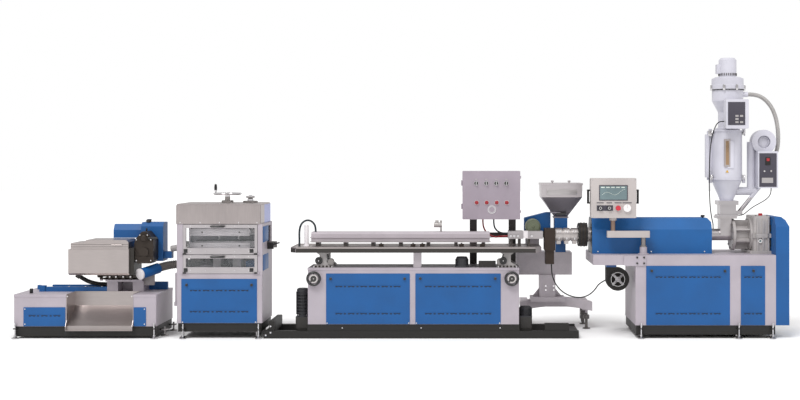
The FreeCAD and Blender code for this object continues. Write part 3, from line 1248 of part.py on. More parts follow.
def extruder_frame():
    """Welded frame: top beam with an overhang, posts and closed body behind panels."""
    parts = [box(BEAM_LEFT, BEAM_RIGHT, FRONT, EXTRUDER_BACK, BEAM_LOW, EXTRUDER_TOP)]
    body = box(FRAME_LEFT, BEAM_RIGHT, FRONT, EXTRUDER_BACK, EXTRUDER_PLINTH_TOP, BEAM_LOW + 1)
    parts.append(body)
    plate = rounded(box(FRAME_LEFT - 113, FRAME_LEFT + 99, FRONT - 10, FRONT + 1, BEAM_LOW - 6,
                        EXTRUDER_TOP - 4), 18.0, Y)
    parts += [plate, arm_socket()]
    return joined(*parts)


def extruder_panels():
    """Blue panels of the wide and the narrow bay."""
    z0 = EXTRUDER_PLINTH_TOP + 2
    z1 = BEAM_LOW - 6
    rows = (z1 - 108, z0 + 108)
    return [panel(FRAME_LEFT + EXTRUDER_POST, MIDDLE_POST, z0, z1, FRONT, rows),
            panel(MIDDLE_POST + EXTRUDER_POST + 3, MIDDLE_POST + EXTRUDER_POST + SMALL_BAY - 3,
                  z0, z1, FRONT, rows)]


def extruder_plinth():
    """Black plinth on levelling feet."""
    low = EXTRUDER_PLINTH_TOP - EXTRUDER_PLINTH_HEIGHT
    parts = [box(FRAME_LEFT + 6, BEAM_RIGHT - 6, FRONT + 6, EXTRUDER_BACK - 6, low,
                 EXTRUDER_PLINTH_TOP)]
    for x in (FRAME_LEFT + 60, MIDDLE_POST + 74, BEAM_RIGHT - 40):
        for y in (FRONT + 60, EXTRUDER_BACK - 60):
            parts.append(levelling_foot(x, y, low + 1))
    return joined(*parts)


def barrel_cover():
    """Long cover over the heated barrel with slanting shoulders and a dark end plate."""
    y0 = AXIS_Y - COVER_DEPTH / 2
    y1 = AXIS_Y + COVER_DEPTH / 2
    shoulder = COVER_TOP - COVER_CHAMFER
    inset = 70.0
    outline = [(y0, EXTRUDER_TOP), (y1, EXTRUDER_TOP), (y1, shoulder), (y1 - inset, COVER_TOP),
               (y0 + inset, COVER_TOP), (y0, shoulder)]
    body = end_prism(outline, COVER_LEFT, COVER_RIGHT)
    corner = side_prism([(COVER_RIGHT - 34, COVER_TOP + 1), (COVER_RIGHT + 1, COVER_TOP + 1),
                         (COVER_RIGHT + 1, COVER_TOP - 40)], y0 - 1, y1 + 1)
    knob = turned([(0, 0), (10, 0), (10, 8), (20, 12), (20, 28), (0, 30)],
                  Vector(COVER_RIGHT - 72, y0 + inset + 30, COVER_TOP), Z)
    return joined(body.cut(corner), knob)


def feed_zone():
    """Water-cooled feed section with the square throat that carries the dryer."""
    cylinder = rod(Vector(COVER_RIGHT, AXIS_Y, AXIS_Z), X, FEED_RADIUS, FEED_LENGTH)
    flange = rod(Vector(COVER_RIGHT + 4, AXIS_Y, AXIS_Z), X, FEED_RADIUS + 26, 22)
    half = THROAT_WIDTH / 2
    throat = box(THROAT_X - half, THROAT_X + half - 34, AXIS_Y - half, AXIS_Y + half, AXIS_Z,
                 THROAT_TOP - 22)
    seat = box(THROAT_X - 106, THROAT_X + 86, AXIS_Y - 96, AXIS_Y + 96, THROAT_TOP - 22,
               THROAT_TOP)
    return joined(cylinder, flange, throat, seat)


def gearbox():
    """Cast bell housing and split gearbox, with ribs, oil cap and sight glass boss."""
    low = EXTRUDER_TOP
    bell = turned([(0, 0), (155, 0), (155, 26), (96, 40), (96, BELL_LENGTH - 30), (168,
                   BELL_LENGTH - 20), (168, BELL_LENGTH), (0, BELL_LENGTH)],
                  Vector(BELL_LEFT, AXIS_Y, AXIS_Z), X)
    ribs = []
    for index in range(8):
        angle = math.radians(22.5 + 45 * index)
        rib = Part.makeBox(BELL_LENGTH - 10, 14, 62, Vector(BELL_LEFT + 5, AXIS_Y - 7, AXIS_Z + 88))
        rib.rotate(Vector(0, AXIS_Y, AXIS_Z), X, math.degrees(angle))
        ribs.append(rib)
    case = box(GEARBOX_LEFT, GEARBOX_LEFT + GEARBOX_WIDTH, AXIS_Y - 190, AXIS_Y + 170, low,
               low + GEARBOX_HEIGHT - 12)
    case = rounded(case, 26.0, Z)
    split = box(GEARBOX_LEFT - 6, GEARBOX_LEFT + GEARBOX_WIDTH, AXIS_Y - 206, AXIS_Y + 186,
                AXIS_Z - 20, AXIS_Z + 20)
    foot = box(GEARBOX_LEFT - 40, GEARBOX_LEFT + GEARBOX_WIDTH, AXIS_Y - 215, AXIS_Y + 195, low,
               low + 26)
    cap = rod(Vector(GEARBOX_LEFT + 88, AXIS_Y - 90, low + GEARBOX_HEIGHT - 13), Z, 20, 24)
    eye = rod(Vector(GEARBOX_LEFT + 62, AXIS_Y - 180, AXIS_Z - 52), Y * -1, 18, 20)
    floor_cut = box(BELL_LEFT - 1, GEARBOX_LEFT, AXIS_Y - 300, AXIS_Y + 300, low - 300, low)
    ridges = [box(GEARBOX_LEFT + 30 + 52 * i, GEARBOX_LEFT + 44 + 52 * i, AXIS_Y - 204,
                  AXIS_Y + 184, low + 20, low + GEARBOX_HEIGHT - 44) for i in range(3)]
    return joined(bell, *ribs, case, split, foot, cap, eye, *ridges).cut(floor_cut)


def belt_guard():
    """Tall blue belt guard with a chamfered top at the line's right end."""
    x1 = BEAM_RIGHT + BELT_GUARD_WIDTH
    low = EXTRUDER_PLINTH_TOP
    high = low + BELT_GUARD_HEIGHT
    outline = [(BEAM_RIGHT, low), (x1, low), (x1, high - 90), (x1 - 26, high - 28),
               (x1 - 60, high), (BEAM_RIGHT, high)]
    body = side_prism(outline, FRONT, FRONT + 620)
    bevel = end_prism([(FRONT - 1, high - 90), (FRONT + 74, high + 1), (FRONT - 1, high + 1)],
                      BEAM_RIGHT - 1, x1 + 1)
    return body.cut(bevel)


def cooling_fan():
    """Black blower hung under the beam's overhang, its inlet to the front."""
    x = FRAME_LEFT - 146.0
    z = BEAM_LOW - 152.0
    y0 = FRONT + 200
    scroll = rod(Vector(x, y0, z), Y, FAN_RADIUS, FAN_WIDTH)
    mouth = box(x - FAN_RADIUS, x - FAN_RADIUS + 96, y0, y0 + FAN_WIDTH, z, BEAM_LOW - 34)
    ring = rod(Vector(x, y0 - 10, z), Y, 84, 12).cut(rod(Vector(x, y0 - 12, z), Y, 70, 14))
    inlet = rod(Vector(x, y0 - 11, z), Y, 70, 40)
    hub = rod(Vector(x, y0 + 4, z), Y, 28, 30)
    body = joined(scroll, mouth).cut(inlet)
    hanger = box(x - FAN_RADIUS, x - FAN_RADIUS + 98, y0 - 10, y0 + FAN_WIDTH + 10,
                 BEAM_LOW - 35, BEAM_LOW)
    return joined(body, ring, hub, hanger)


def pendant_arm():
    """Swing arm: lower post with a collar, box arm and the stub that the panel turns on."""
    low = EXTRUDER_TOP + SOCKET_HEIGHT + RUNNING_GAP
    post = turned([(0, 0), (32, 0), (32, 14), (POST_RADIUS, 14), (POST_RADIUS, ARM_LOW - low + 2),
                   (0, ARM_LOW - low + 2)], Vector(SOCKET_X, SOCKET_Y, low), Z)
    arm = rounded(box(PENDANT_X - 58, SOCKET_X + 60, SOCKET_Y - ARM_WIDTH / 2,
                      SOCKET_Y + ARM_WIDTH / 2, ARM_LOW, ARM_LOW + ARM_HEIGHT), 12.0, Z)
    stub_high = PENDANT_LOW - PENDANT_FOOT - RUNNING_GAP
    stub = rod(Vector(PENDANT_X, SOCKET_Y, ARM_LOW + ARM_HEIGHT - 1), Z, POST_RADIUS,
               stub_high - ARM_LOW - ARM_HEIGHT + 1)
    return joined(post, arm, stub)


def pendant():
    """Operator panel with side handles, a framed screen and a row of controls."""
    x0 = PENDANT_X - PENDANT_WIDTH / 2
    x1 = PENDANT_X + PENDANT_WIDTH / 2
    y0 = SOCKET_Y - PENDANT_DEPTH / 2
    y1 = SOCKET_Y + PENDANT_DEPTH / 2
    top = PENDANT_LOW + PENDANT_HEIGHT
    body = rounded(box(x0, x1, y0, y1, PENDANT_LOW, top), 10.0, Y)
    screen = box(x0 + 84, x1 - 90, y0 - 1, y0 + 4, top - 206, top - 74)
    body = body.cut(screen)
    glass = box(x0 + 84, x1 - 90, y0 + 1, y0 + 4.5, top - 206, top - 74)
    foot = rod(Vector(PENDANT_X, SOCKET_Y, PENDANT_LOW - PENDANT_FOOT), Z, POST_RADIUS + 12,
               PENDANT_FOOT + 1)
    parts = [body, glass, foot]
    for side in (-1, 1):
        x = PENDANT_X + side * (PENDANT_WIDTH / 2 + 22)
        inner = PENDANT_X + side * (PENDANT_WIDTH / 2 - 2)
        parts.append(rod(Vector(x, SOCKET_Y, top - 245), Z, 11, 135))
        for z in (top - 238, top - 117):
            parts.append(bar(Vector(inner, SOCKET_Y, z), Vector(x, SOCKET_Y, z), 8))
    for index, radius in enumerate((20, 20, 24, 36)):
        x = x0 + 88 + index * 85
        parts.append(rod(Vector(x, y0 - 24, PENDANT_LOW + 95), Y, radius, 25))
    return joined(*parts)


# Hopper dryer on the feed throat

DRYER_CONE_LOW = THROAT_TOP + 152.0
DRYER_SHELL_LOW = DRYER_CONE_LOW + DRYER_CONE_HEIGHT
DRYER_TOP = DRYER_SHELL_LOW + DRYER_HEIGHT
DRYER_X = THROAT_X + 3.0
LOADER_LOW = DRYER_TOP + 176.0


def dryer_hopper():
    """White hopper: base magnet box, cone, clamped cylinder with rail and sight glass."""
    half = DRYER_FLANGE / 2
    parts = [box(DRYER_X - half, DRYER_X + half, AXIS_Y - half, AXIS_Y + half, THROAT_TOP,
                 THROAT_TOP + 16),
             box(DRYER_X - 78, DRYER_X + 78, AXIS_Y - 78, AXIS_Y + 78, THROAT_TOP + 15,
                 DRYER_CONE_LOW - 40),
             box(DRYER_X - half, DRYER_X + half, AXIS_Y - half, AXIS_Y + half,
                 DRYER_CONE_LOW - 41, DRYER_CONE_LOW)]
    base = Vector(DRYER_X, AXIS_Y, DRYER_CONE_LOW)
    height = DRYER_CONE_HEIGHT
    parts.append(turned([(0, 0), (DRYER_NECK_RADIUS, 0), (DRYER_RADIUS, height),
                         (DRYER_RADIUS + 10, height), (DRYER_RADIUS + 10, height + 12),
                         (DRYER_RADIUS, height + 12), (DRYER_RADIUS, height + DRYER_HEIGHT - 12),
                         (DRYER_RADIUS + 10, height + DRYER_HEIGHT - 12),
                         (DRYER_RADIUS + 10, height + DRYER_HEIGHT), (0, height + DRYER_HEIGHT)],
                        base, Z))
    glass_x = DRYER_X + 8
    parts.append(box(glass_x - 30, glass_x + 30, AXIS_Y - DRYER_RADIUS - 8, AXIS_Y - 100,
                     DRYER_SHELL_LOW + 112, DRYER_TOP - 104))
    rail = box(DRYER_X - DRYER_RADIUS - 58, DRYER_X - DRYER_RADIUS - 28, AXIS_Y - 30,
               AXIS_Y + 30, DRYER_SHELL_LOW + 20, DRYER_TOP - 40)
    arms = [box(DRYER_X - DRYER_RADIUS - 30, DRYER_X - DRYER_RADIUS + 20, AXIS_Y - 14,
                AXIS_Y + 14, z, z + 24) for z in (DRYER_SHELL_LOW + 40, DRYER_TOP - 90)]
    parts += [rail] + arms
    for z in (DRYER_SHELL_LOW - 8, DRYER_TOP - 8):
        for side in (-1, 1):
            x = DRYER_X + side * (DRYER_RADIUS + 14)
            parts.append(box(x - 14, x + 14, AXIS_Y - 34, AXIS_Y - 4, z - 26, z + 22))
    return joined(*parts)


def dryer_loader():
    """Vacuum loader: neck, funnel body, lid with a ring and the suction motor."""
    low = LOADER_LOW
    foot = Vector(DRYER_X + 10, AXIS_Y, DRYER_TOP)
    neck = low - DRYER_TOP
    profile = [(0, 0), (DRYER_RADIUS - 30, 0), (DRYER_RADIUS - 30, 18), (92, 30), (92, neck),
               (LOADER_RADIUS, neck + LOADER_CONE), (LOADER_RADIUS,
               neck + LOADER_CONE + LOADER_HEIGHT), (LOADER_RADIUS + 8,
               neck + LOADER_CONE + LOADER_HEIGHT), (LOADER_RADIUS + 8,
               neck + LOADER_CONE + LOADER_HEIGHT + 44), (LOADER_RADIUS + 4,
               neck + LOADER_CONE + LOADER_HEIGHT + 50), (LOADER_RADIUS + 4,
               neck + LOADER_CONE + LOADER_HEIGHT + 110), (LOADER_RADIUS - 30,
               neck + LOADER_CONE + LOADER_HEIGHT + 126), (LOADER_MOTOR_RADIUS,
               neck + LOADER_CONE + LOADER_HEIGHT + 130)]
    top = neck + LOADER_CONE + LOADER_HEIGHT + 130
    profile += [(LOADER_MOTOR_RADIUS, top + LOADER_MOTOR_HEIGHT - 20),
                (LOADER_MOTOR_RADIUS - 18, top + LOADER_MOTOR_HEIGHT), (0,
                top + LOADER_MOTOR_HEIGHT)]
    body = turned(profile, foot, Z)
    side_box = box(foot.x - LOADER_MOTOR_RADIUS - 26, foot.x - 60, AXIS_Y - 40, AXIS_Y + 40,
                   DRYER_TOP + top + 30, DRYER_TOP + top + 120)
    port = rod(Vector(foot.x + LOADER_RADIUS - 20, AXIS_Y - 30,
                      low + LOADER_CONE + LOADER_HEIGHT - 44), X, 26, 60)
    return joined(body, side_box, port)


def loader_controller():
    """White control box of the loader on the front of its funnel."""
    x0 = DRYER_X - 60.0
    y0 = AXIS_Y - LOADER_RADIUS - 122
    case = rounded(box(x0, x0 + 219, y0, y0 + 120, DRYER_TOP + 12, DRYER_TOP + 294), 8.0, Y)
    bracket = box(x0 + 30, x0 + 110, y0 + 118, AXIS_Y - 60, DRYER_TOP + 60, DRYER_TOP + 140)
    neck = rod(Vector(DRYER_X + 10, AXIS_Y, DRYER_TOP), Z, 92 + TOUCH, 300)
    return joined(case, bracket.cut(neck))


BLOWER_X = DRYER_X + 356.0
BLOWER_Z = DRYER_SHELL_LOW + 369.0


def dryer_air():
    """Blower, heater column, elbow to the cone, dryer control box and the strut."""
    y0 = AXIS_Y - BLOWER_WIDTH / 2
    scroll = rod(Vector(BLOWER_X, y0, BLOWER_Z), Y, BLOWER_RADIUS, BLOWER_WIDTH)
    inlet = rod(Vector(BLOWER_X, y0 - 1, BLOWER_Z), Y, 62, 40)
    column_x = BLOWER_X - 116.0
    column = rod(Vector(column_x, AXIS_Y, DRYER_CONE_LOW + 130), Z, 40, BLOWER_Z
                 - DRYER_CONE_LOW - 130)
    elbow = rod(Vector(DRYER_X + 60, AXIS_Y, DRYER_CONE_LOW + 92), X, 40, column_x
                - DRYER_X - 20)
    knee = Part.makeSphere(41, Vector(column_x, AXIS_Y, DRYER_CONE_LOW + 92))
    drop = rod(Vector(column_x, AXIS_Y, DRYER_CONE_LOW + 92), Z, 40, 60)
    case = rounded(box(BLOWER_X - 80, BLOWER_X - 80 + DRYER_BOX_WIDTH, AXIS_Y - 150,
                       AXIS_Y - 150 + DRYER_BOX_DEPTH, BLOWER_Z - 450,
                       BLOWER_Z - 450 + DRYER_BOX_HEIGHT), 8.0, Y)
    clip = box(column_x - 10, BLOWER_X - 60, AXIS_Y - 20, AXIS_Y + 10, BLOWER_Z - 300,
               BLOWER_Z - 200)
    hold = box(BLOWER_X - 40, BLOWER_X + 40, AXIS_Y - 50, AXIS_Y + 10, BLOWER_Z - 100,
               BLOWER_Z - 60)
    strut = bar(Vector(DRYER_X + 116, AXIS_Y - 20, THROAT_TOP + 36),
                Vector(BLOWER_X - 40, AXIS_Y - 20, BLOWER_Z - 445), 20)
    seat = box(DRYER_X + 78, DRYER_X + 146, AXIS_Y - 50, AXIS_Y + 10, THROAT_TOP + 16,
               THROAT_TOP + 52)
    socket = rod(Vector(BLOWER_X + 110, AXIS_Y + 65, BLOWER_Z - 314), Z, 28, 40)
    arm = box(BLOWER_X + 90, BLOWER_X + 106, AXIS_Y + 9, AXIS_Y + 60, BLOWER_Z - 306,
              BLOWER_Z - 282)
    slope = (DRYER_RADIUS - DRYER_NECK_RADIUS) / DRYER_CONE_HEIGHT
    bite = turned([(0, 0), (DRYER_NECK_RADIUS + TOUCH, 0),
                   (DRYER_RADIUS + TOUCH + slope, DRYER_CONE_HEIGHT), (0, DRYER_CONE_HEIGHT)],
                  Vector(DRYER_X, AXIS_Y, DRYER_CONE_LOW), Z)
    return joined(scroll.cut(inlet), column, elbow.cut(bite), knee, drop, case, clip, hold,
                  strut, seat, socket, arm)


def lay_hoses():
    """Hoses and cables, each by the points of its route."""
    hose("loader_hose", [(3185, 95, 2339), (3265, 95, 2339), (3350, 97, 2297),
                         (3418, 102, 2222), (3462, 110, 2125), (3486, 121, 2015),
                         (3496, 136, 1905), (3492, 156, 1810), (3472, 178, 1740),
                         (3450, 190, 1668), (3450, 190, 1600)], 43.0)
    hose("dust_hose", [DUST_MOUTH, (-2528.5, 136.8, 658.2), (-2425, 203, 669),
                       (-2345, 228, 672), DUCT_BEND, DUCT_END], 84.0)
    hose("carriage_conduit", [CONDUIT_START, (-3269.6, -5.6, 525.2), (-3204, 45, 494),
                              (-3136, 72, 482), (-3066, 72, 482)], CONDUIT_DIAMETER)
    hose("loader_cable", [(2924, -60, 2070), (2885, -60, 2070), (2855, -56, 2050),
                          (2834, -46, 2005), (2815, -33, 1940), (2802, -20, 1855),
                          (2795, -9, 1750), (2792, 0, 1620), (2793, 8, 1480),
                          (2797, 17, 1345), (2806, 32, 1235), (2821, 56, 1155),
                          (2837, 88, 1103), (2851, 116, 1070), (2852, 125, 1023)], 10.0)
    hose("dryer_cable", [(3402, 40, 1424), (3402, 40, 1384), (3386, 42, 1344),
                         (3350, 46, 1308), (3296, 52, 1276), (3230, 57, 1240),
                         (3170, 61, 1192), (3128, 62, 1155), (3082, 62, 1155)], 9.0)
    hose("table_hose", [(-1196, 10, 858), (-1196, 12, 915), (-1198, 14, 975),
                        (-1195, 18, 1030), (-1178, 24, 1078), (-1142, 34, 1108),
                        (-1096, 46, 1108), (-1062, 56, 1080), (-1044, 62, 1040),
                        (-1044, 62, 993)], 20.0)
    hose("red_hose", [(592, 290, 1110), (592, 290, 1060), (604, 286, 1012),
                      (634, 278, 968), (674, 262, 944), (716, 218, 934),
                      (752, 176, 942), (790, 142, 948), (835, 142, 948)], 16.0)
    hose("dark_hose", [(700, 294, 1110), (700, 294, 1062), (712, 294, 1015),
                       (748, 294, 980), (800, 294, 966), (836, 294, 967),
                       (867, 276, 970), (885, 245, 974), (885, 215, 976)], 16.0)
    fan_left = FRAME_LEFT - 146.0 - FAN_RADIUS
    hose("fan_cable", [(1262, 90, 680), (1262, 90, 628), (1270, 87, 560), (1296, 80, 492),
                       (1342, 68, 430), (1405, 54, 384), (1480, 38, 358), (1556, 22, 356),
                       (1626, 8, 384), (1680, -4, 436), (1718, -14, 500),
                       (fan_left, -20, 530)], 12.0)


def build_nodes():
    """Make every node of the line."""
    keep("cutter_cabinet", cutter_cabinet())
    keep("catch_chute", catch_chute())
    keep("cutter_rails", *cutter_rails())
    keep("saw_carriage", saw_carriage())
    keep("saw_hood", saw_hood())
    keep("saw_lid", saw_lid())
    keep("saw_gear_plate", saw_gear_plate())
    keep("dust_pipe", dust_pipe())
    keep("drive_guards", saw_drive_guard(), coex_drive_guard(), belt_guard())
    keep("machine_plinths", cutter_plinth(), haul_plinth(), extruder_plinth())
    cutter_z = (CUTTER_FLOOR + 100,)
    door = panel(HAUL_LEFT + 44, HAUL_RIGHT - 50, HAUL_FLOOR + 2, HAUL_SHELF - 48, FRONT,
                 (HAUL_FLOOR + 108, HAUL_SHELF - 160))
    keep("machine_panels",
         panel(CUTTER_LEFT + 93, CUTTER_LEFT + 491, CUTTER_FLOOR + 2, DECK - 121, FRONT,
               cutter_z),
         panel(CUTTER_RIGHT - 214, CUTTER_RIGHT - 97, CUTTER_FLOOR + 2, DECK - 121, FRONT),
         door, *extruder_panels())
    keep("haul_cabinet", haul_cabinet())
    keep("haul_housing", haul_housing())
    keep("haul_walls", haul_walls())
    guards = (("upper", UPPER_GUARD_LOW, UPPER_GUARD_HEIGHT),
              ("lower", LOWER_GUARD_LOW, LOWER_GUARD_HEIGHT))
    for name, low, height in guards:
        keep("guard_%s_frame" % name, guard_frame(low, height, 60.0, HAUL_MIDDLE - 84))
        keep("guard_%s_pane" % name, guard_pane(low, height, 60.0))
    keep("upper_track", upper_track())
    keep("lower_track", lower_track())
    keep("haul_fittings", *haul_lift(), *haul_brackets())
    keep("lift_wheel", lift_wheel())
    keep("base_rail", base_rail(), rail_channel())
    keep("table_skirt", table_skirt())
    keep("table_cabinet", table_cabinet())
    keep("table_panels", *table_panels())
    keep("table_top", table_top())
    column, valve = trough_fittings()
    keep("cooling_trough", joined(cooling_trough(), valve), column)
    keep("calibrators", calibrators())
    keep("table_jacks", *table_jacks())
    keep("table_drives", *table_drives())
    keep("table_wheel_left", table_wheel(TABLE_LEFT + 61))
    keep("table_wheel_right", table_wheel(TABLE_RIGHT - 70))
    keep("control_box", control_box())
    keep("box_door", box_door())
    keep("coex_stand", coex_stand(), *caster_forks())
    keep("caster_wheel_left", caster_wheel(-1))
    keep("caster_wheel_right", caster_wheel(1))
    keep("coex_hopper", coex_hopper())
    keep("coex_barrel", *coex_barrel())
    keep("die_head", die_head())
    keep("extruder_frame", extruder_frame())
    keep("barrel_cover", barrel_cover())
    keep("feed_zone", feed_zone())
    keep("gearbox", gearbox())
    keep("cooling_fan", cooling_fan())
    keep("pendant_arm", pendant_arm())
    keep("pendant", pendant())
    keep("dryer_hopper", dryer_hopper())
    keep("dryer_loader", dryer_loader(), loader_controller())
    keep("dryer_air", dryer_air())
    lay_hoses()


def write_nodes():
    """Write one file for each node."""
    os.makedirs("parts", exist_ok=True)
    for name, solids in NODES.items():
        shape = solids[0] if len(solids) == 1 else Part.makeCompound(solids)
        print(name, len(shape.Solids), shape.isValid(), round(shape.Volume / 1e6, 2))
        shape.exportStep("parts/%s.step" % name)


build_nodes()
write_nodes()
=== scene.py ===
import logging
import math
from dataclasses import dataclass
from enum import Enum
from typing import Callable, Optional, Sequence

import bmesh
import bpy
from mathutils import Matrix, Vector


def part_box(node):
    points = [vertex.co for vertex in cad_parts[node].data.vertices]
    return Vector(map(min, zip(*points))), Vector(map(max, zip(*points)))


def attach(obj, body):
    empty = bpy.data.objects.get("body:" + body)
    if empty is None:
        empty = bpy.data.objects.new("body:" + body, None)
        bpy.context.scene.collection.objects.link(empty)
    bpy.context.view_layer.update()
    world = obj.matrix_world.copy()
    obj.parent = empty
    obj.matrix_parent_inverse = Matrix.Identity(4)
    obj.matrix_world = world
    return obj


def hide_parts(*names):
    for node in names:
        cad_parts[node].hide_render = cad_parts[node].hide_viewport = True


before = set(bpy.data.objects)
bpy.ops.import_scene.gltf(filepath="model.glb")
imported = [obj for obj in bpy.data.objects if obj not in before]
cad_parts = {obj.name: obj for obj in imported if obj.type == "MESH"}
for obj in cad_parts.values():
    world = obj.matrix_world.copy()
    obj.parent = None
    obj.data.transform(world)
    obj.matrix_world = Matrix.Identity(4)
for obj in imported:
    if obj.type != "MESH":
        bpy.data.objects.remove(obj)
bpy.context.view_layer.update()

LOG = logging.getLogger("extrusion_line")
MM = 0.001
FRONT = -0.275  # depth of the cabinets' front faces
CREASE = math.radians(32)  # steeper edges stay sharp under smooth shading
ROUNDED_FROM = 0.7  # angle in radians from which a bevel takes an edge
ON_AXIS = 1e-6  # a smaller radius is a point on the axis
DARKENING_TOP = 0.22  # height below which a piece gets darker towards the bottom
BOTTOM_SHARE = 0.86  # share of the colour that is left at the floor
PATCH_SCALE = 3.3  # patches of shade are about 0.3 m wide
STREAK_STRETCH = 0.02  # the pattern's scale along a brushed streak
DARKER, LIGHTER = 3.2, 2.4  # how far the mottle pulls the colour down and up
ROUGH_SPREAD = 0.14  # share by which the roughness varies
BUMP_STRENGTH = 0.6
COAT_ROUGHNESS = 0.25
Point = tuple[float, float, float]
Spot = tuple[Point, Point]


class Axis(Enum):
    """The row axes that a turned or drawn shape can follow."""

    X = (1.0, 0.0, 0.0)
    Y = (0.0, 1.0, 0.0)
    Z = (0.0, 0.0, 1.0)

    @property
    def vector(self) -> Vector:
        """The axis as a vector."""
        return Vector(self.value)


class Make(Enum):
    """How a surface was made, which sets the pattern that the eye sees on it."""

    POWDER = "powder coated"
    BRUSHED = "brushed"
    CAST = "cast and painted"
    MACHINED = "machined"
    MOULDED = "moulded"
    GRANULES = "loose granules"


# how deep the fine pattern of each make is, in metres
GRAIN_DEPTH = {Make.POWDER: 0.00012, Make.BRUSHED: 0.00004, Make.CAST: 0.0008,
               Make.MACHINED: 0.00005, Make.MOULDED: 0.00012, Make.GRANULES: 0.002}


def linear(code: str) -> tuple[float, float, float, float]:
    """Turn an sRGB hex colour into linear light.

    Args:
        code: six hex digits.

    Returns:
        Linear red, green and blue, with an alpha of one.
    """
    parts = [int(code[i:i + 2], 16) / 255 for i in (0, 2, 4)]
    light = [c / 12.92 if c <= 0.04045 else ((c + 0.055) / 1.055) ** 2.4 for c in parts]
    return (light[0], light[1], light[2], 1.0)


def add_node(tree: bpy.types.NodeTree, kind: str, inputs: Optional[dict] = None,
             **settings: object) -> bpy.types.Node:
    """Add a node with its settings, and link or set its inputs.

    Args:
        tree: the node tree to add to.
        kind: the node's type name.
        inputs: socket name or number to a value, or to the socket that feeds it.
        settings: attributes of the node.

    Returns:
        The new node.
    """
    made = tree.nodes.new(kind)
    for key, value in settings.items():
        setattr(made, key, value)
    for key, value in (inputs or {}).items():
        if isinstance(value, bpy.types.NodeSocket):
            tree.links.new(value, made.inputs[key])
        else:
            made.inputs[key].default_value = value
    return made


def maths(tree: bpy.types.NodeTree, operation: str, *values: object,
          vector: bool = False) -> bpy.types.NodeSocket:
    """Add one step of maths on numbers or on vectors.

    Args:
        tree: the node tree to add to.
        operation: what the node does.
        values: its inputs in order.
        vector: whether it works on vectors.

    Returns:
        The result, which is a number for the length of a vector.
    """
    kind = "ShaderNodeVectorMath" if vector else "ShaderNodeMath"
    made = add_node(tree, kind, dict(enumerate(values)), operation=operation)
    return made.outputs["Value" if operation == "LENGTH" else 0]


def mix(tree: bpy.types.NodeTree, factor: object, first: object, second: object,
        kind: str = "FLOAT") -> bpy.types.NodeSocket:
    """Blend two numbers, or two colours where the kind is RGBA."""
    a, b, result = (6, 7, 2) if kind == "RGBA" else (2, 3, 0)
    return add_node(tree, "ShaderNodeMix", {"Factor": factor, a: first, b: second},
                    data_type=kind).outputs[result]


def spread(tree: bpy.types.NodeTree, value: object, low: float, high: float,
           to_low: float = 0.0, to_high: float = 1.0) -> bpy.types.NodeSocket:
    """Map the range from low to high onto another one."""
    return add_node(tree, "ShaderNodeMapRange",
                    {"Value": value, "From Min": low, "From Max": high, "To Min": to_low,
                     "To Max": to_high}).outputs[0]


def put(name: str, data: bpy.types.ID) -> bpy.types.Object:
    """Add an object with its data to the scene."""
    made = bpy.data.objects.new(name, data)
    bpy.context.scene.collection.objects.link(made)
    return made


@dataclass(frozen=True)
class Zone:
    """A box of a merged piece that has its own colour, such as a black handle."""

    low: Point
    high: Point
    colour: str
    roughness: float = 0.5
    metallic: float = 0.0

    def mask(self, tree: bpy.types.NodeTree, place: bpy.types.NodeSocket) -> bpy.types.NodeSocket:
        """Nodes that give one inside the box and nothing outside it."""
        middle = [(a + b) / 2 for a, b in zip(self.low, self.high)]
        half = [(b - a) / 2 for a, b in zip(self.low, self.high)]
        moved = maths(tree, "SUBTRACT", place, middle, vector=True)
        size = maths(tree, "ABSOLUTE", moved, vector=True)
        over = maths(tree, "SUBTRACT", size, half, vector=True)
        x, y, z = add_node(tree, "ShaderNodeSeparateXYZ", {0: over}).outputs
        worst = maths(tree, "MAXIMUM", maths(tree, "MAXIMUM", x, y), z)
        return maths(tree, "LESS_THAN", worst, 0.0)


@dataclass(frozen=True)
class Disc(Zone):
    """A zone inside a radius about a line along Y, for dials and hubs."""

    radius: float = 0.05

    def mask(self, tree: bpy.types.NodeTree, place: bpy.types.NodeSocket) -> bpy.types.NodeSocket:
        """Nodes that give one inside the radius and nothing outside it."""
        moved = maths(tree, "SUBTRACT", place, self.low, vector=True)
        flat = maths(tree, "MULTIPLY", moved, (1, 0, 1), vector=True)
        return maths(tree, "LESS_THAN", maths(tree, "LENGTH", flat, vector=True), self.radius)


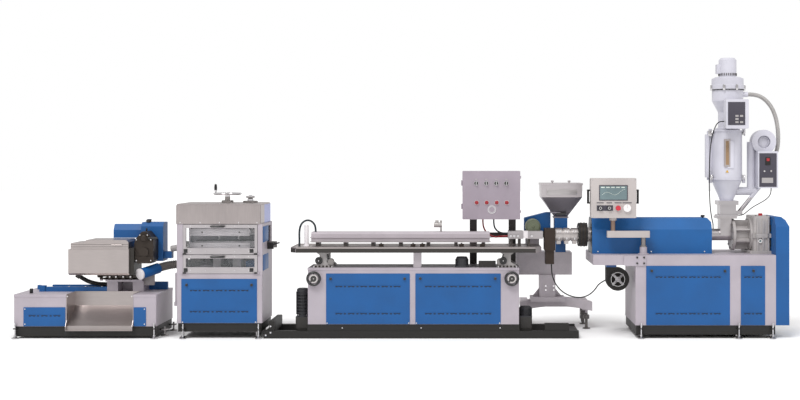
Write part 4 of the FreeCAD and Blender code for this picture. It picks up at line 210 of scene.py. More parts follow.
@dataclass(frozen=True)
class Surface:
    """One finish: its colours, how it was made, and the zones that differ."""

    name: str
    colour: str
    make: Make
    roughness: float = 0.45
    metallic: float = 0.0
    grain: float = 0.006
    streak: Optional[Axis] = None
    coat: float = 0.0
    alpha: float = 1.0
    mottle: float = 0.05
    ior: float = 1.5
    zones: tuple[Zone, ...] = ()

    def build(self) -> bpy.types.Material:
        """Make the material's nodes, once for each name.

        Returns:
            The material.
        """
        found = bpy.data.materials.get(self.name)
        if found:
            return found
        made = bpy.data.materials.new(self.name)
        made.use_nodes = True
        tree = made.node_tree
        tree.nodes.clear()
        place = add_node(tree, "ShaderNodeTexCoord").outputs["Object"]
        colour, rough, height = self.pattern(tree, place)
        metallic: object = self.metallic
        for zone in self.zones:
            inside = zone.mask(tree, place)
            colour = mix(tree, inside, colour, linear(zone.colour), "RGBA")
            rough = mix(tree, inside, rough, zone.roughness)
            metallic = mix(tree, inside, metallic, zone.metallic)
        bump = add_node(tree, "ShaderNodeBump", {"Height": height, "Strength": BUMP_STRENGTH,
                                                 "Distance": GRAIN_DEPTH[self.make]})
        skin = add_node(tree, "ShaderNodeBsdfPrincipled",
                        {"Base Color": colour, "Roughness": rough, "Metallic": metallic,
                         "Normal": bump.outputs[0], "Coat Weight": self.coat,
                         "Coat Roughness": COAT_ROUGHNESS, "Alpha": self.alpha,
                         "IOR": self.ior})
        add_node(tree, "ShaderNodeOutputMaterial", {"Surface": skin.outputs[0]})
        return made

    def pattern(self, tree: bpy.types.NodeTree, place: bpy.types.NodeSocket) -> tuple:
        """Colour, roughness and height of the bare surface.

        Args:
            tree: the material's nodes.
            place: the position on the piece, in metres.

        Returns:
            The three sockets.
        """
        wide = add_node(tree, "ShaderNodeTexNoise", {"Vector": place, "Scale": PATCH_SCALE,
                                                     "Detail": 3.0, "Roughness": 0.55})
        stretch = [STREAK_STRETCH if axis is self.streak else 1.0 for axis in Axis]
        scaled = add_node(tree, "ShaderNodeMapping", {"Vector": place, "Scale": stretch})
        fine = {"Vector": scaled.outputs[0], "Scale": 1 / self.grain}
        if self.make is Make.GRANULES:
            value = add_node(tree, "ShaderNodeTexVoronoi", fine).outputs["Distance"]
        else:
            value = add_node(tree, "ShaderNodeTexNoise", {**fine, "Detail": 2.0}).outputs[0]
        share = 0.55 if self.make is Make.BRUSHED else 0.2
        both = mix(tree, share, wide.outputs[0], value)
        base = linear(self.colour)[:3]
        low = (*(c * (1 - DARKER * self.mottle) for c in base), 1.0)
        high = (*(min(1.0, c * (1 + LIGHTER * self.mottle)) for c in base), 1.0)
        colour = mix(tree, spread(tree, both, 0.35, 0.65), low, high, "RGBA")
        # the colour gets darker towards the bottom of the piece, below a fixed height
        up = add_node(tree, "ShaderNodeSeparateXYZ", {0: place}).outputs[2]
        bottom_darkening = spread(tree, up, 0.0, DARKENING_TOP, BOTTOM_SHARE, 1.0)
        colour = add_node(tree, "ShaderNodeVectorMath", {0: colour, 3: bottom_darkening},
                          operation="SCALE").outputs[0]
        rough = spread(tree, both, 0.3, 0.7, self.roughness * (1 - ROUGH_SPREAD),
                       self.roughness * (1 + ROUGH_SPREAD))
        return colour, rough, value


# Powder-coated steel: even colour with a fine orange-peel skin and a soft sheen.
GREY_PAINT = Surface("Grey powder-coated steel", "A9A1A9", Make.POWDER, 0.5, mottle=0.025)
LIGHT_PAINT = Surface("Light grey powder-coated sheet", "DCD6DA", Make.POWDER, 0.45,
                      mottle=0.02)
BLUE_PAINT = Surface("Blue powder-coated steel", "00508E", Make.POWDER, 0.5, mottle=0.03)
BLACK_PAINT = Surface("Black painted steel", "14110E", Make.POWDER, 0.55)
OLIVE_PAINT = Surface("Olive painted motor cast", "5A604C", Make.CAST, 0.5)
WHITE_PAINT = Surface("White powder-coated steel", "C6C5CF", Make.POWDER, 0.38, mottle=0.03)
# Stainless sheet: satin, with long fine brush marks along the sheet.
STAINLESS = Surface("Brushed stainless sheet", "B5ADAB", Make.BRUSHED, 0.38, 1.0, 0.0025,
                    Axis.X, mottle=0.03)
STAINLESS_UP = Surface("Brushed stainless sheet upright", "AEA6A5", Make.BRUSHED, 0.4, 1.0,
                       0.0025, Axis.Z, mottle=0.03)
# Machined and chromed steel: clean and bright, with faint tool marks.
STEEL = Surface("Machined steel", "9C9896", Make.MACHINED, 0.34, 1.0, 0.003)
BRIGHT = Surface("Polished chromed steel", "D2D0D2", Make.MACHINED, 0.14, 1.0, 0.02)
DARK_STEEL = Surface("Blackened steel", "3B342F", Make.MACHINED, 0.45, 0.7, 0.004)
# Castings: coarse sand skin under the paint.
CAST = Surface("Grey painted casting", "A6A2A1", Make.CAST, 0.5, 0.1, 0.012)
MOTOR = Surface("Dark painted motor cast", "2E2E32", Make.CAST, 0.5, 0.1, 0.01)
# Moulded rubber and plastics: smooth, matt rubber and glossy phenolic and acrylic.
RUBBER = Surface("Black moulded rubber", "101010", Make.MOULDED, 0.62, ior=1.52)
KNOB = Surface("Black moulded phenolic", "0E0E10", Make.MOULDED, 0.32, coat=0.2, ior=1.6)
RED_CAP = Surface("Red moulded acrylic", "A01420", Make.MOULDED, 0.25, coat=0.5, ior=1.49)
WHITE_CAP = Surface("White moulded nylon", "CCC8CA", Make.MOULDED, 0.4, ior=1.53)
DARK_GREY_PANEL = Surface("Slate printed membrane panel", "3E3B46", Make.MOULDED, 0.45)
PLATE = Surface("Bare aluminium label plate", "B9B5B5", Make.BRUSHED, 0.4, 0.9, 0.003, Axis.X)
DISPLAY = Surface("Screen behind glass", "667A7E", Make.MOULDED, 0.16, coat=0.6)
TRACE = Surface("Lit screen trace", "D4DED6", Make.MOULDED, 0.3)
CLEAR = Surface("Clear polycarbonate sheet", "E8EEF2", Make.MOULDED, 0.05, alpha=0.05,
                ior=1.585)
GRANULES = Surface("Plastic granules", "7A6248", Make.GRANULES, 0.5, mottle=0.25)
YELLOW = Surface("Yellow enamelled label plate", "C89A10", Make.POWDER, 0.4)
# Hose walls: woven duct fabric, vinyl over a wire spiral, and extruded hose.
DUCT = Surface("Wire-wound duct fabric", "6E6965", Make.MOULDED, 0.7)
GREY_HOSE = Surface("Wire-wound clear grey vinyl", "9E9B99", Make.MOULDED, 0.35, coat=0.3,
                    ior=1.54)
RED_HOSE = Surface("Red extruded polyurethane hose", "8E2024", Make.MOULDED, 0.35)
DARK_HOSE = Surface("Dark green extruded rubber hose", "1E2A30", Make.MOULDED, 0.45)


def dress(node: str, surface: Surface) -> None:
    """Give a CAD node its finish."""
    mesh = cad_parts[node].data
    material = surface.build()
    if not mesh.materials:
        mesh.materials.append(material)
    for index in range(len(mesh.materials)):
        mesh.materials[index] = material


def zoned(base: Surface, name: str, *zones: Zone, **changes: object) -> Surface:
    """A finish like another one, with zones of its own."""
    values = {key: getattr(base, key) for key in base.__dataclass_fields__}
    values.update(changes)
    values["name"] = name
    values["zones"] = tuple(zones)
    return Surface(**values)


def finish_piece(piece: bpy.types.Object, body: str, surface: Surface) -> bpy.types.Object:
    """Give a new piece its finish and the body that it moves with."""
    piece.data.materials.clear()
    piece.data.materials.append(surface.build())
    for polygon in piece.data.polygons:
        polygon.use_smooth = True
        polygon.material_index = 0
    piece.data.set_sharp_from_angle(angle=CREASE)
    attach(piece, body)
    return piece


class Sketch:
    """A mesh under construction, in metres in the row frame."""

    def __init__(self) -> None:
        """Start with an empty mesh."""
        self.mesh = bmesh.new()

    def box(self, low: Point, high: Point) -> "Sketch":
        """Add a box between two corners."""
        middle = (Vector(low) + Vector(high)) / 2
        size = Vector(high) - Vector(low)
        matrix = Matrix.Translation(middle) @ Matrix.Diagonal((size.x, size.y, size.z, 1))
        bmesh.ops.create_cube(self.mesh, size=1.0, matrix=matrix)
        return self

    def rod(self, start: Point, end: Point, radius: float, sides: int = 24) -> "Sketch":
        """Add a round bar between two points."""
        a, b = Vector(start), Vector(end)
        turn = (b - a).to_track_quat("Z", "Y").to_matrix().to_4x4()
        matrix = Matrix.Translation((a + b) / 2) @ turn
        bmesh.ops.create_cone(self.mesh, cap_ends=True, segments=sides, radius1=radius,
                              radius2=radius, depth=(b - a).length, matrix=matrix)
        return self

    def turned(self, profile: Sequence[tuple[float, float]], foot: Point, axis: Axis,
               way: float = 1.0, sides: int = 32) -> "Sketch":
        """Add a closed turned shape.

        Args:
            profile: radius and height pairs that start and end on the same height or the axis.
            foot: where the height is zero.
            axis: the axis that it turns about.
            way: one or minus one, for the axis's sense.
            sides: how many facets the round has.

        Returns:
            The sketch.
        """
        turn = (axis.vector * way).to_track_quat("Z", "Y").to_matrix()
        rings = []
        for radius, height in profile:
            ring = []
            for index in range(1 if radius < ON_AXIS else sides):
                angle = 2 * math.pi * index / sides
                local = Vector((radius * math.cos(angle), radius * math.sin(angle), height))
                ring.append(self.mesh.verts.new(Vector(foot) + turn @ local))
            rings.append(ring)
        closed = profile[0][0] > ON_AXIS
        pairs = list(zip(rings, rings[1:])) + ([(rings[-1], rings[0])] if closed else [])
        faces = []
        for lower, upper in pairs:
            for index in range(sides):
                after = (index + 1) % sides
                corners = [lower[index % len(lower)], lower[after % len(lower)],
                           upper[after % len(upper)], upper[index % len(upper)]]
                single = list(dict.fromkeys(corners))
                if len(single) > 2:
                    faces.append(self.mesh.faces.new(single))
        bmesh.ops.recalc_face_normals(self.mesh, faces=faces)
        return self

    def ring(self, middle: Point, axis: Axis, outer: float, inner: float,
             height: float, way: float = 1.0) -> "Sketch":
        """Add a flat ring that rises from its middle along an axis."""
        return self.turned([(outer, 0), (outer, height), (inner, height), (inner, 0)], middle,
                           axis, way)

    def prism(self, outline: Sequence[tuple[float, float]], y0: float, y1: float) -> "Sketch":
        """Add a plate with an XZ outline between two depths."""
        near = [self.mesh.verts.new((x, y0, z)) for x, z in outline]
        far = [self.mesh.verts.new((x, y1, z)) for x, z in outline]
        faces = [self.mesh.faces.new(near), self.mesh.faces.new(list(reversed(far)))]
        for index in range(len(outline)):
            after = (index + 1) % len(outline)
            faces.append(self.mesh.faces.new((near[index], far[index], far[after], near[after])))
        bmesh.ops.recalc_face_normals(self.mesh, faces=faces)
        return self

    def piece(self, name: str, body: str, surface: Surface,
              bevel: float = 0.0) -> bpy.types.Object:
        """Turn the sketch into a finished piece.

        Args:
            name: the piece's name.
            body: the body it moves with.
            surface: its finish.
            bevel: width of the rounded edges, in metres.

        Returns:
            The new object.
        """
        data = bpy.data.meshes.new(name)
        if bevel:
            sharp = [e for e in self.mesh.edges
                     if len(e.link_faces) == 2 and e.calc_face_angle() > ROUNDED_FROM]
            bmesh.ops.bevel(self.mesh, geom=sharp, offset=bevel, segments=2, affect="EDGES",
                            profile=0.5, clamp_overlap=True)
        self.mesh.to_mesh(data)
        self.mesh.free()
        return finish_piece(put(name, data), body, surface)


def block(name: str, body: str, surface: Surface, low: Point, high: Point,
          bevel: float = 0.0) -> None:
    """Add a piece that is one box between two corners."""
    Sketch().box(low, high).piece(name, body, surface, bevel)


def new_group(name: str, inputs: dict[str, str]) -> bpy.types.NodeTree:
    """Start a Geometry Nodes tree whose output is a piece.

    Args:
        name: the tree's name.
        inputs: the name of each input, and its socket's kind.

    Returns:
        The node group.
    """
    group = bpy.data.node_groups.new(name, "GeometryNodeTree")
    for label, kind in inputs.items():
        group.interface.new_socket(label, in_out="INPUT", socket_type="NodeSocket" + kind)
    group.interface.new_socket("Piece", in_out="OUTPUT", socket_type="NodeSocketGeometry")
    return group


def close_group(group: bpy.types.NodeTree, shape: bpy.types.Node,
                finish: bpy.types.NodeSocket) -> None:
    """Realize the tree's shape, give it its finish and lead it to the output."""
    real = add_node(group, "GeometryNodeRealizeInstances", {0: shape.outputs[0]})
    dressed = add_node(group, "GeometryNodeSetMaterial",
                       {0: real.outputs[0], "Material": finish})
    add_node(group, "NodeGroupOutput", {0: dressed.outputs[0]})


class Bit(Enum):
    """What the repeating tree puts on each spot."""

    ROUND = "round head"
    HEX = "hexagon head"
    BLOCK = "block"


HEAD_SIDES = {Bit.ROUND: 14, Bit.HEX: 6}


@dataclass
class Repeat:
    """Geometry Nodes tree that puts one small shape on each spot of a piece."""

    bit: Bit

    def tree(self) -> bpy.types.NodeTree:
        """Build the tree with its named inputs.

        Returns:
            The node group.
        """
        name = "Repeat " + self.bit.value
        if name in bpy.data.node_groups:
            return bpy.data.node_groups[name]
        group = new_group(name, {"Spots": "Geometry", "Size": "Vector", "Finish": "Material"})
        given = add_node(group, "NodeGroupInput").outputs
        if self.bit is Bit.BLOCK:
            shape = add_node(group, "GeometryNodeMeshCube", {"Size": given["Size"]})
        else:
            split = add_node(group, "ShaderNodeSeparateXYZ", {0: given["Size"]})
            shape = add_node(group, "GeometryNodeMeshCylinder",
                             {"Vertices": HEAD_SIDES[self.bit],
                              "Radius": split.outputs[0], "Depth": split.outputs[2]})
        turn = add_node(group, "GeometryNodeInputNamedAttribute", {"Name": "turn"},
                        data_type="FLOAT_VECTOR")
        spin = add_node(group, "FunctionNodeEulerToRotation", {0: turn.outputs[0]})
        placed = add_node(group, "GeometryNodeInstanceOnPoints",
                          {"Points": given["Spots"], "Instance": shape.outputs["Mesh"],
                           "Rotation": spin.outputs[0]})
        close_group(group, placed, given["Finish"])
        return group

    def place(self, name: str, body: str, surface: Surface,
              spots: Sequence[Spot], size: Point) -> bpy.types.Object:
        """Put the shape on every spot and keep the result as a plain mesh.

        Args:
            name: the piece's name.
            body: the body it moves with.
            surface: its finish.
            spots: place and Euler turn of each one.
            size: radius, nothing and height of a head, or the sides of a block.

        Returns:
            The new object.
        """
        cloud = bpy.data.meshes.new(name + "_spots")
        cloud.from_pydata([place for place, _ in spots], [], [])
        turns = cloud.attributes.new("turn", "FLOAT_VECTOR", "POINT")
        for index, (_, turn) in enumerate(spots):
            turns.data[index].vector = turn
        return bake(put(name + "_carrier", cloud), self.tree(),
                    {"Size": size, "Finish": surface.build()}, name, body, surface)

    def heads(self, name: str, body: str, surface: Surface, axis: Axis,
              places: Sequence[Point], radius: float = 0.006, height: float = 0.004) -> None:
        """Put a head on every place, all of them facing along one axis."""
        self.place(name, body, surface, facing(axis, places), (radius, 0.0, height))

    def ring_of_heads(self, name: str, surface: Surface, axis: Axis, middle: Point,
                      circle: tuple[float, int, float], size: tuple[float, float]) -> None:
        """Put heads that face along an axis on a circle about it.

        Args:
            name: the piece's name, which rides on the line.
            surface: its finish.
            axis: the circle's axis.
            middle: its centre.
            circle: its radius, how many heads it has, and the angle of the first one.
            size: radius and height of a head.
        """
        places = [place for place, _ in around(middle, axis, *circle)]
        self.heads(name, "line", surface, axis, places, *size)


def bake(carrier: bpy.types.Object, group: bpy.types.NodeTree, values: dict, name: str,
         body: str, surface: Surface) -> bpy.types.Object:
    """Run a Geometry Nodes tree on an object and keep its result as a plain mesh.

    Args:
        carrier: the object that the tree reads, which is removed.
        group: the tree.
        values: input name to value.
        name: the piece's name.
        body: the body it moves with.
        surface: its finish.

    Returns:
        The new object.
    """
    modifier = carrier.modifiers.new("Repeat", "NODES")
    modifier.node_group = group
    for item in group.interface.items_tree:
        if item.item_type == "SOCKET" and item.in_out == "INPUT" and item.name in values:
            modifier[item.identifier] = values[item.name]
    graph = bpy.context.evaluated_depsgraph_get()
    data = bpy.data.meshes.new_from_object(carrier.evaluated_get(graph), depsgraph=graph)
    data.name = name
    made = put(name, data)
    carrier.modifiers.clear()
    bpy.data.objects.remove(carrier)
    return finish_piece(made, body, surface)


FACING = {Axis.X: (0.0, math.pi / 2, 0.0), Axis.Y: (math.pi / 2, 0.0, 0.0),
          Axis.Z: (0.0, 0.0, 0.0)}
HEX = Repeat(Bit.HEX)
HEADS = Repeat(Bit.ROUND)
BLOCKS = Repeat(Bit.BLOCK)


def facing(axis: Axis, places: Sequence[Point]) -> list[Spot]:
    """Spots whose heads point along an axis."""
    return [(place, FACING[axis]) for place in places]


def around(middle: Point, axis: Axis, radius: float, count: int,
           start: float = 0.0) -> list[Spot]:
    """Spots on a circle, each turned to face outwards about the axis.

    Args:
        middle: the circle's centre.
        axis: the circle's axis.
        radius: its radius.
        count: how many spots.
        start: angle of the first one.

    Returns:
        Places and Euler turns.
    """
    found = []
    for index in range(count):
        angle = start + 2 * math.pi * index / count
        c, s = math.cos(angle) * radius, math.sin(angle) * radius
        if axis is Axis.X:
            offset, turn = (0.0, c, s), (angle, 0.0, 0.0)
        elif axis is Axis.Y:
            offset, turn = (c, 0.0, s), (0.0, -angle, 0.0)
        else:
            offset, turn = (c, s, 0.0), (0.0, 0.0, angle)
        found.append((tuple(Vector(middle) + Vector(offset)), turn))
    return found


@dataclass
class Camera:
    """The photograph's view: level, 12 m in front of the line."""

    eye: Point = (0.464, -12.275, 1.677)
    lens: float = 56.8
    sensor: float = 36.0
    shift: tuple[float, float] = (-0.0875, -0.0475)

    def place(self) -> None:
        """Add the camera and make it the scene's own."""
        data = bpy.data.cameras.new("Camera")
        data.lens = self.lens
        data.sensor_width = self.sensor
        data.shift_x, data.shift_y = self.shift
        made = put("Camera", data)
        made.location = self.eye
        made.rotation_euler = (math.pi / 2, 0.0, 0.0)
        bpy.context.scene.camera = made


@dataclass
class Studio:
    """Plain level light on a white ground."""

    sky: float = 0.70
    sun: float = 1.7
    softness: float = 25.0
    reach: float = 60.0

    def light(self) -> None:
        """Add the sky and two soft suns."""
        world = bpy.data.worlds.new("Studio")
        world.use_nodes = True
        tree = world.node_tree
        tree.nodes.clear()
        ray = add_node(tree, "ShaderNodeLightPath").outputs
        seen = maths(tree, "MAXIMUM", ray["Is Camera Ray"], ray["Is Transmission Ray"])
        plain = add_node(tree, "ShaderNodeBackground", {"Color": (1, 1, 1, 1),
                                                        "Strength": 1.0})
        lit = add_node(tree, "ShaderNodeBackground", {"Color": (1.0, 0.99, 0.985, 1),
                                                      "Strength": self.sky})
        both = add_node(tree, "ShaderNodeMixShader", {0: seen, 1: lit.outputs[0],
                                                      2: plain.outputs[0]})
        add_node(tree, "ShaderNodeOutputWorld", {0: both.outputs[0]})
        bpy.context.scene.world = world
        for name, tilt, turn, share in (("Key", 38, -32, 1.0), ("Fill", 52, 40, 0.3)):
            data = bpy.data.lights.new(name, "SUN")
            data.energy = self.sun * share
            data.angle = math.radians(self.softness)
            put(name, data).rotation_euler = (math.radians(tilt), 0, math.radians(turn))

    def floor(self) -> None:
        """Add the white ground that the machines stand on."""
        data = bpy.data.meshes.new("Ground")
        far, low = self.reach, -0.002
        data.from_pydata([(-far, -far, low), (far, -far, low), (far, far, low),
                          (-far, far, low)], [], [(0, 1, 2, 3)])
        material = bpy.data.materials.new("White ground")
        material.use_nodes = True
        skin = material.node_tree.nodes["Principled BSDF"].inputs
        skin["Base Color"].default_value = (1, 1, 1, 1)
        skin["Roughness"].default_value = 1.0
        skin["Specular IOR Level"].default_value = 0.0
        data.materials.append(material)
        ground = put("Ground", data)


@dataclass
class Cord:
    """A hose or cable on its own route, as a smooth spline or as a ribbed tube.

    Its points are in millimetres. A rib is the pitch of the ribs in metres, the depth a share
    of it, and the steps are how many points the tube has on each rib.
    """

    node: str
    body: str
    diameter: float
    surface: Surface
    points: tuple[Point, ...]
    stiffness: str = "medium"
    rib: float = 0.0
    depth: float = 0.16
    steps: float = 5.0

    def samples(self) -> list[Point]:
        """Points of the route's spline, read from Blender with no bevel on it."""
        route = self.curve(self.node + "_route_points")
        graph = bpy.context.evaluated_depsgraph_get()
        data = bpy.data.meshes.new_from_object(route.evaluated_get(graph), depsgraph=graph)
        found = [tuple(vertex.co) for vertex in data.vertices]
        bpy.data.meshes.remove(data)
        bpy.data.curves.remove(route.data)
        return found

    def length(self) -> float:
        """Length of the route in metres."""
        path = [Vector(p) for p in self.samples()]
        return sum((b - a).length for a, b in zip(path, path[1:]))

    def curve(self, name: str) -> bpy.types.Object:
        """The route as a spline object."""
        data = bpy.data.curves.new(name, "CURVE")
        data.dimensions = "3D"
        spline = data.splines.new("NURBS")
        spline.points.add(len(self.points) - 1)
        for spot, place in zip(spline.points, self.points):
            spot.co = (*(v * MM for v in place), 1.0)
        spline.order_u = 3
        spline.use_endpoint_u = True
        data.resolution_u = 10
        return put(name, data)

    def ribbed(self) -> bpy.types.NodeTree:
        """Tree that sweeps a circle along a route with a rib at each pitch.

        Returns:
            The node group.
        """
        if "Ribbed tube" in bpy.data.node_groups:
            return bpy.data.node_groups["Ribbed tube"]
        group = new_group("Ribbed tube", {"Route": "Geometry", "Radius": "Float",
                                          "Pitch": "Float", "Depth": "Float",
                                          "Finish": "Material"})
        given = add_node(group, "NodeGroupInput").outputs
        step = maths(group, "DIVIDE", given["Pitch"], self.steps)
        route = add_node(group, "GeometryNodeResampleCurve",
                         {"Curve": given["Route"], "Length": step}, mode="LENGTH")
        along = add_node(group, "GeometryNodeSplineParameter").outputs["Length"]
        turns = maths(group, "DIVIDE", along, given["Pitch"])
        wave = maths(group, "COSINE", maths(group, "MULTIPLY", turns, 2 * math.pi))
        radius = maths(group, "MULTIPLY_ADD", wave, given["Depth"], given["Radius"])
        ring = add_node(group, "GeometryNodeCurvePrimitiveCircle", {"Resolution": 20,
                                                                    "Radius": 1.0})
        tube = add_node(group, "GeometryNodeCurveToMesh",
                        {"Curve": route.outputs[0], "Profile Curve": ring.outputs[0],
                         "Scale": radius, "Fill Caps": True})
        close_group(group, tube, given["Finish"])
        return group

    def build(self) -> None:
        name = self.node + "_line"
        made = self.curve(name)
        path = None
        if self.rib:
            made.name = name + "_route"
            depth = self.rib * self.depth
            made = bake(made, self.ribbed(), {"Radius": self.diameter / 2 - depth,
                                              "Pitch": self.rib, "Depth": depth,
                                              "Finish": self.surface.build()},
                        name, self.body, self.surface)
            path = self.samples()
        else:
            made.data.bevel_depth = self.diameter / 2
            made.data.bevel_resolution = 4
            made.data.use_fill_caps = True
            made.data.materials.append(self.surface.build())
            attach(made, self.body)
        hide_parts(self.node)
        self.length()


CORDS = (
    Cord("loader_hose", "line", 0.043, GREY_HOSE,
         ((3185, 95, 2339), (3265, 95, 2339), (3350, 97, 2297), (3418, 102, 2222),
          (3462, 110, 2125), (3486, 121, 2015), (3496, 138, 1905), (3492, 156, 1810),
          (3472, 178, 1740), (3450, 190, 1668), (3450, 190, 1600)), "limp", 0.009),
    Cord("dust_hose", "line", 0.084, DUCT,
         ((-2583, 55, 640), (-2528.5, 136.8, 658.2), (-2425, 203, 669), (-2345, 228, 672),
          (-2272, 227, 676), (-2130, 185, 710)), "limp", 0.02),
    Cord("carriage_conduit", "line", 0.044, RUBBER,
         ((-3318, -25, 564), (-3269.6, -5.6, 525.2), (-3204, 45, 494), (-3136, 72, 482),
          (-3066, 72, 482)), "limp", 0.012),
    Cord("loader_cable", "line", 0.010, RUBBER,
         ((2924, -60, 2070), (2885, -60, 2070), (2855, -56, 2050), (2834, -46, 2005),
          (2815, -33, 1940), (2802, -20, 1855), (2795, -9, 1750), (2792, 0, 1620),
          (2793, 8, 1480), (2797, 17, 1345), (2806, 32, 1235), (2821, 56, 1155),
          (2837, 88, 1103), (2851, 116, 1070), (2852, 125, 1023))),
    Cord("dryer_cable", "line", 0.009, RUBBER,
         ((3402, 40, 1424), (3402, 40, 1384), (3386, 42, 1344), (3350, 46, 1308),
          (3296, 52, 1276), (3230, 57, 1240), (3170, 61, 1192), (3128, 62, 1155),
          (3082, 62, 1155))),
    Cord("table_hose", "table", 0.020, DARK_HOSE,
         ((-1196, 10, 858), (-1196, 12, 915), (-1198, 14, 975), (-1195, 18, 1030),
          (-1178, 24, 1078), (-1142, 34, 1108), (-1096, 46, 1108), (-1062, 56, 1080),
          (-1044, 62, 1040), (-1044, 62, 993)), "limp"),
    Cord("red_hose", "table", 0.016, RED_HOSE,
         ((592, 290, 1110), (592, 290, 1060), (604, 286, 1012), (634, 278, 968),
          (674, 262, 944), (716, 218, 934), (752, 176, 942), (790, 142, 948),
          (835, 142, 948)), "limp"),
    Cord("dark_hose", "table", 0.016, DARK_HOSE,
         ((700, 294, 1110), (700, 294, 1062), (712, 294, 1015), (748, 294, 980),
          (800, 294, 966), (836, 294, 967), (867, 276, 970), (885, 245, 974),
          (885, 215, 976)), "limp"),
    Cord("fan_cable", "line", 0.012, RUBBER,
         ((1262, 90, 680), (1262, 90, 628), (1270, 87, 560), (1296, 80, 492),
          (1342, 68, 430), (1405, 54, 384), (1480, 38, 358), (1556, 22, 356),
          (1626, 8, 384), (1680, -4, 436), (1718, -14, 500), (1780, -20, 530))),
)


@dataclass
class Door:
    """A blue louvred panel with its locks and corner screws.

    A row is the height of a row of louvres, the pitch is the step between them, and the back,
    slit and hood are how far each of their parts stands before the cabinet's front. The black
    backs and slits are painted shade inside the louvres.
    """

    name: str
    x0: float
    x1: float
    rows: tuple[float, ...] = ()
    pitch: float = 0.040
    locks: tuple[Point, ...] = ()
    body: str = "line"
    screws: tuple[tuple[float, float], ...] = ()
    margin: float = 0.03
    share: float = 0.8
    back: float = 0.0014
    slit: float = 0.0043
    hood: float = 0.0058

    def build(self) -> None:
        """Add pressed louvre hoods, painted shade under and behind them, locks and screws."""
        if self.rows:
            dark = Sketch()
            hoods = []
            slits = []
            for row in self.rows:
                # painted shade: black sheets behind the slots stand in for the shade inside the
                # cabinet
                dark.box((self.x0 + self.margin, FRONT - self.back, row - 0.002),
                         (self.x1 - self.margin, FRONT - 0.0006, row + 0.009))
                span = (self.x1 - self.x0) * self.share
                count = max(3, round(span / self.pitch))
                for index in range(count):
                    x = (self.x0 + self.x1) / 2 + (index - count / 2 + 0.5) * span / count
                    # painted shade: black slits under the hoods stand in for the shade in the
                    # louvre openings
                    slits.append(((x, FRONT - self.slit, row), (0, 0, 0)))
                    hoods.append(((x, FRONT - self.hood, row + 0.0085), (0.5, 0.0, 0.0)))
            dark.piece(self.name + "_louvre_shade_backs", self.body, RUBBER)
            BLOCKS.place(self.name + "_louvre_shade_slits", self.body, RUBBER, slits,
                         (self.pitch * 0.5, 0.0010, 0.010))
            BLOCKS.place(self.name + "_louvre_hoods", self.body, BLUE_PAINT, hoods,
                         (self.pitch * 0.62, 0.0016, 0.009))
        if self.locks:
            knobs = Sketch()
            for x, y, z in self.locks:
                knobs.turned([(0, 0), (0.013, 0), (0.013, 0.004), (0.009, 0.006),
                              (0.009, 0.014), (0, 0.014)], (x, y, z), Axis.Y, -1.0, 18)
                knobs.prism([(x - 0.012, z - 0.012), (x + 0.012, z - 0.012), (x, z + 0.01)],
                            y - 0.018, y - 0.012)
            knobs.piece(self.name + "_locks", self.body, KNOB)
        if self.screws:
            HEADS.heads(self.name + "_screws", self.body, BRIGHT, Axis.Y,
                        [(x, FRONT - 0.005, z) for x, z in self.screws])


@dataclass
class FrontFeet:
    """Chromed levelling feet that stand before the plinths, each on a short bracket."""

    places: tuple[tuple[float, float], ...] = (
        (-3.856, 0.150), (-2.536, 0.150), (-2.262, 0.140), (-1.545, 0.140),
        (2.090, 0.150), (3.019, 0.150), (3.340, 0.150))
    y: float = -0.292

    def details(self) -> None:
        """Add a stud, a nut and a round foot at each place."""
        feet = Sketch()
        nuts = []
        for x, high in self.places:
            feet.rod((x, self.y, 0.016), (x, self.y, high), 0.0065, sides=16)
            feet.turned([(0, 0), (0.033, 0), (0.033, 0.006), (0.020, 0.012), (0.012, 0.022),
                         (0, 0.022)], (x, self.y, 0.0), Axis.Z, 1.0, 28)
            nuts += [(x, self.y, 0.030), (x, self.y, high - 0.030)]
        feet.piece("front_levelling_feet", "line", BRIGHT)
        HEX.heads("front_foot_nuts", "line", BRIGHT, Axis.Z, nuts, 0.013, 0.010)
        lugs = Sketch()
        for x, high in self.places:
            lugs.box((x - 0.018, self.y - 0.010, high - 0.062), (x + 0.018, -0.262, high - 0.052))
        lugs.piece("front_foot_lugs", "line", BLACK_PAINT, 0.001)


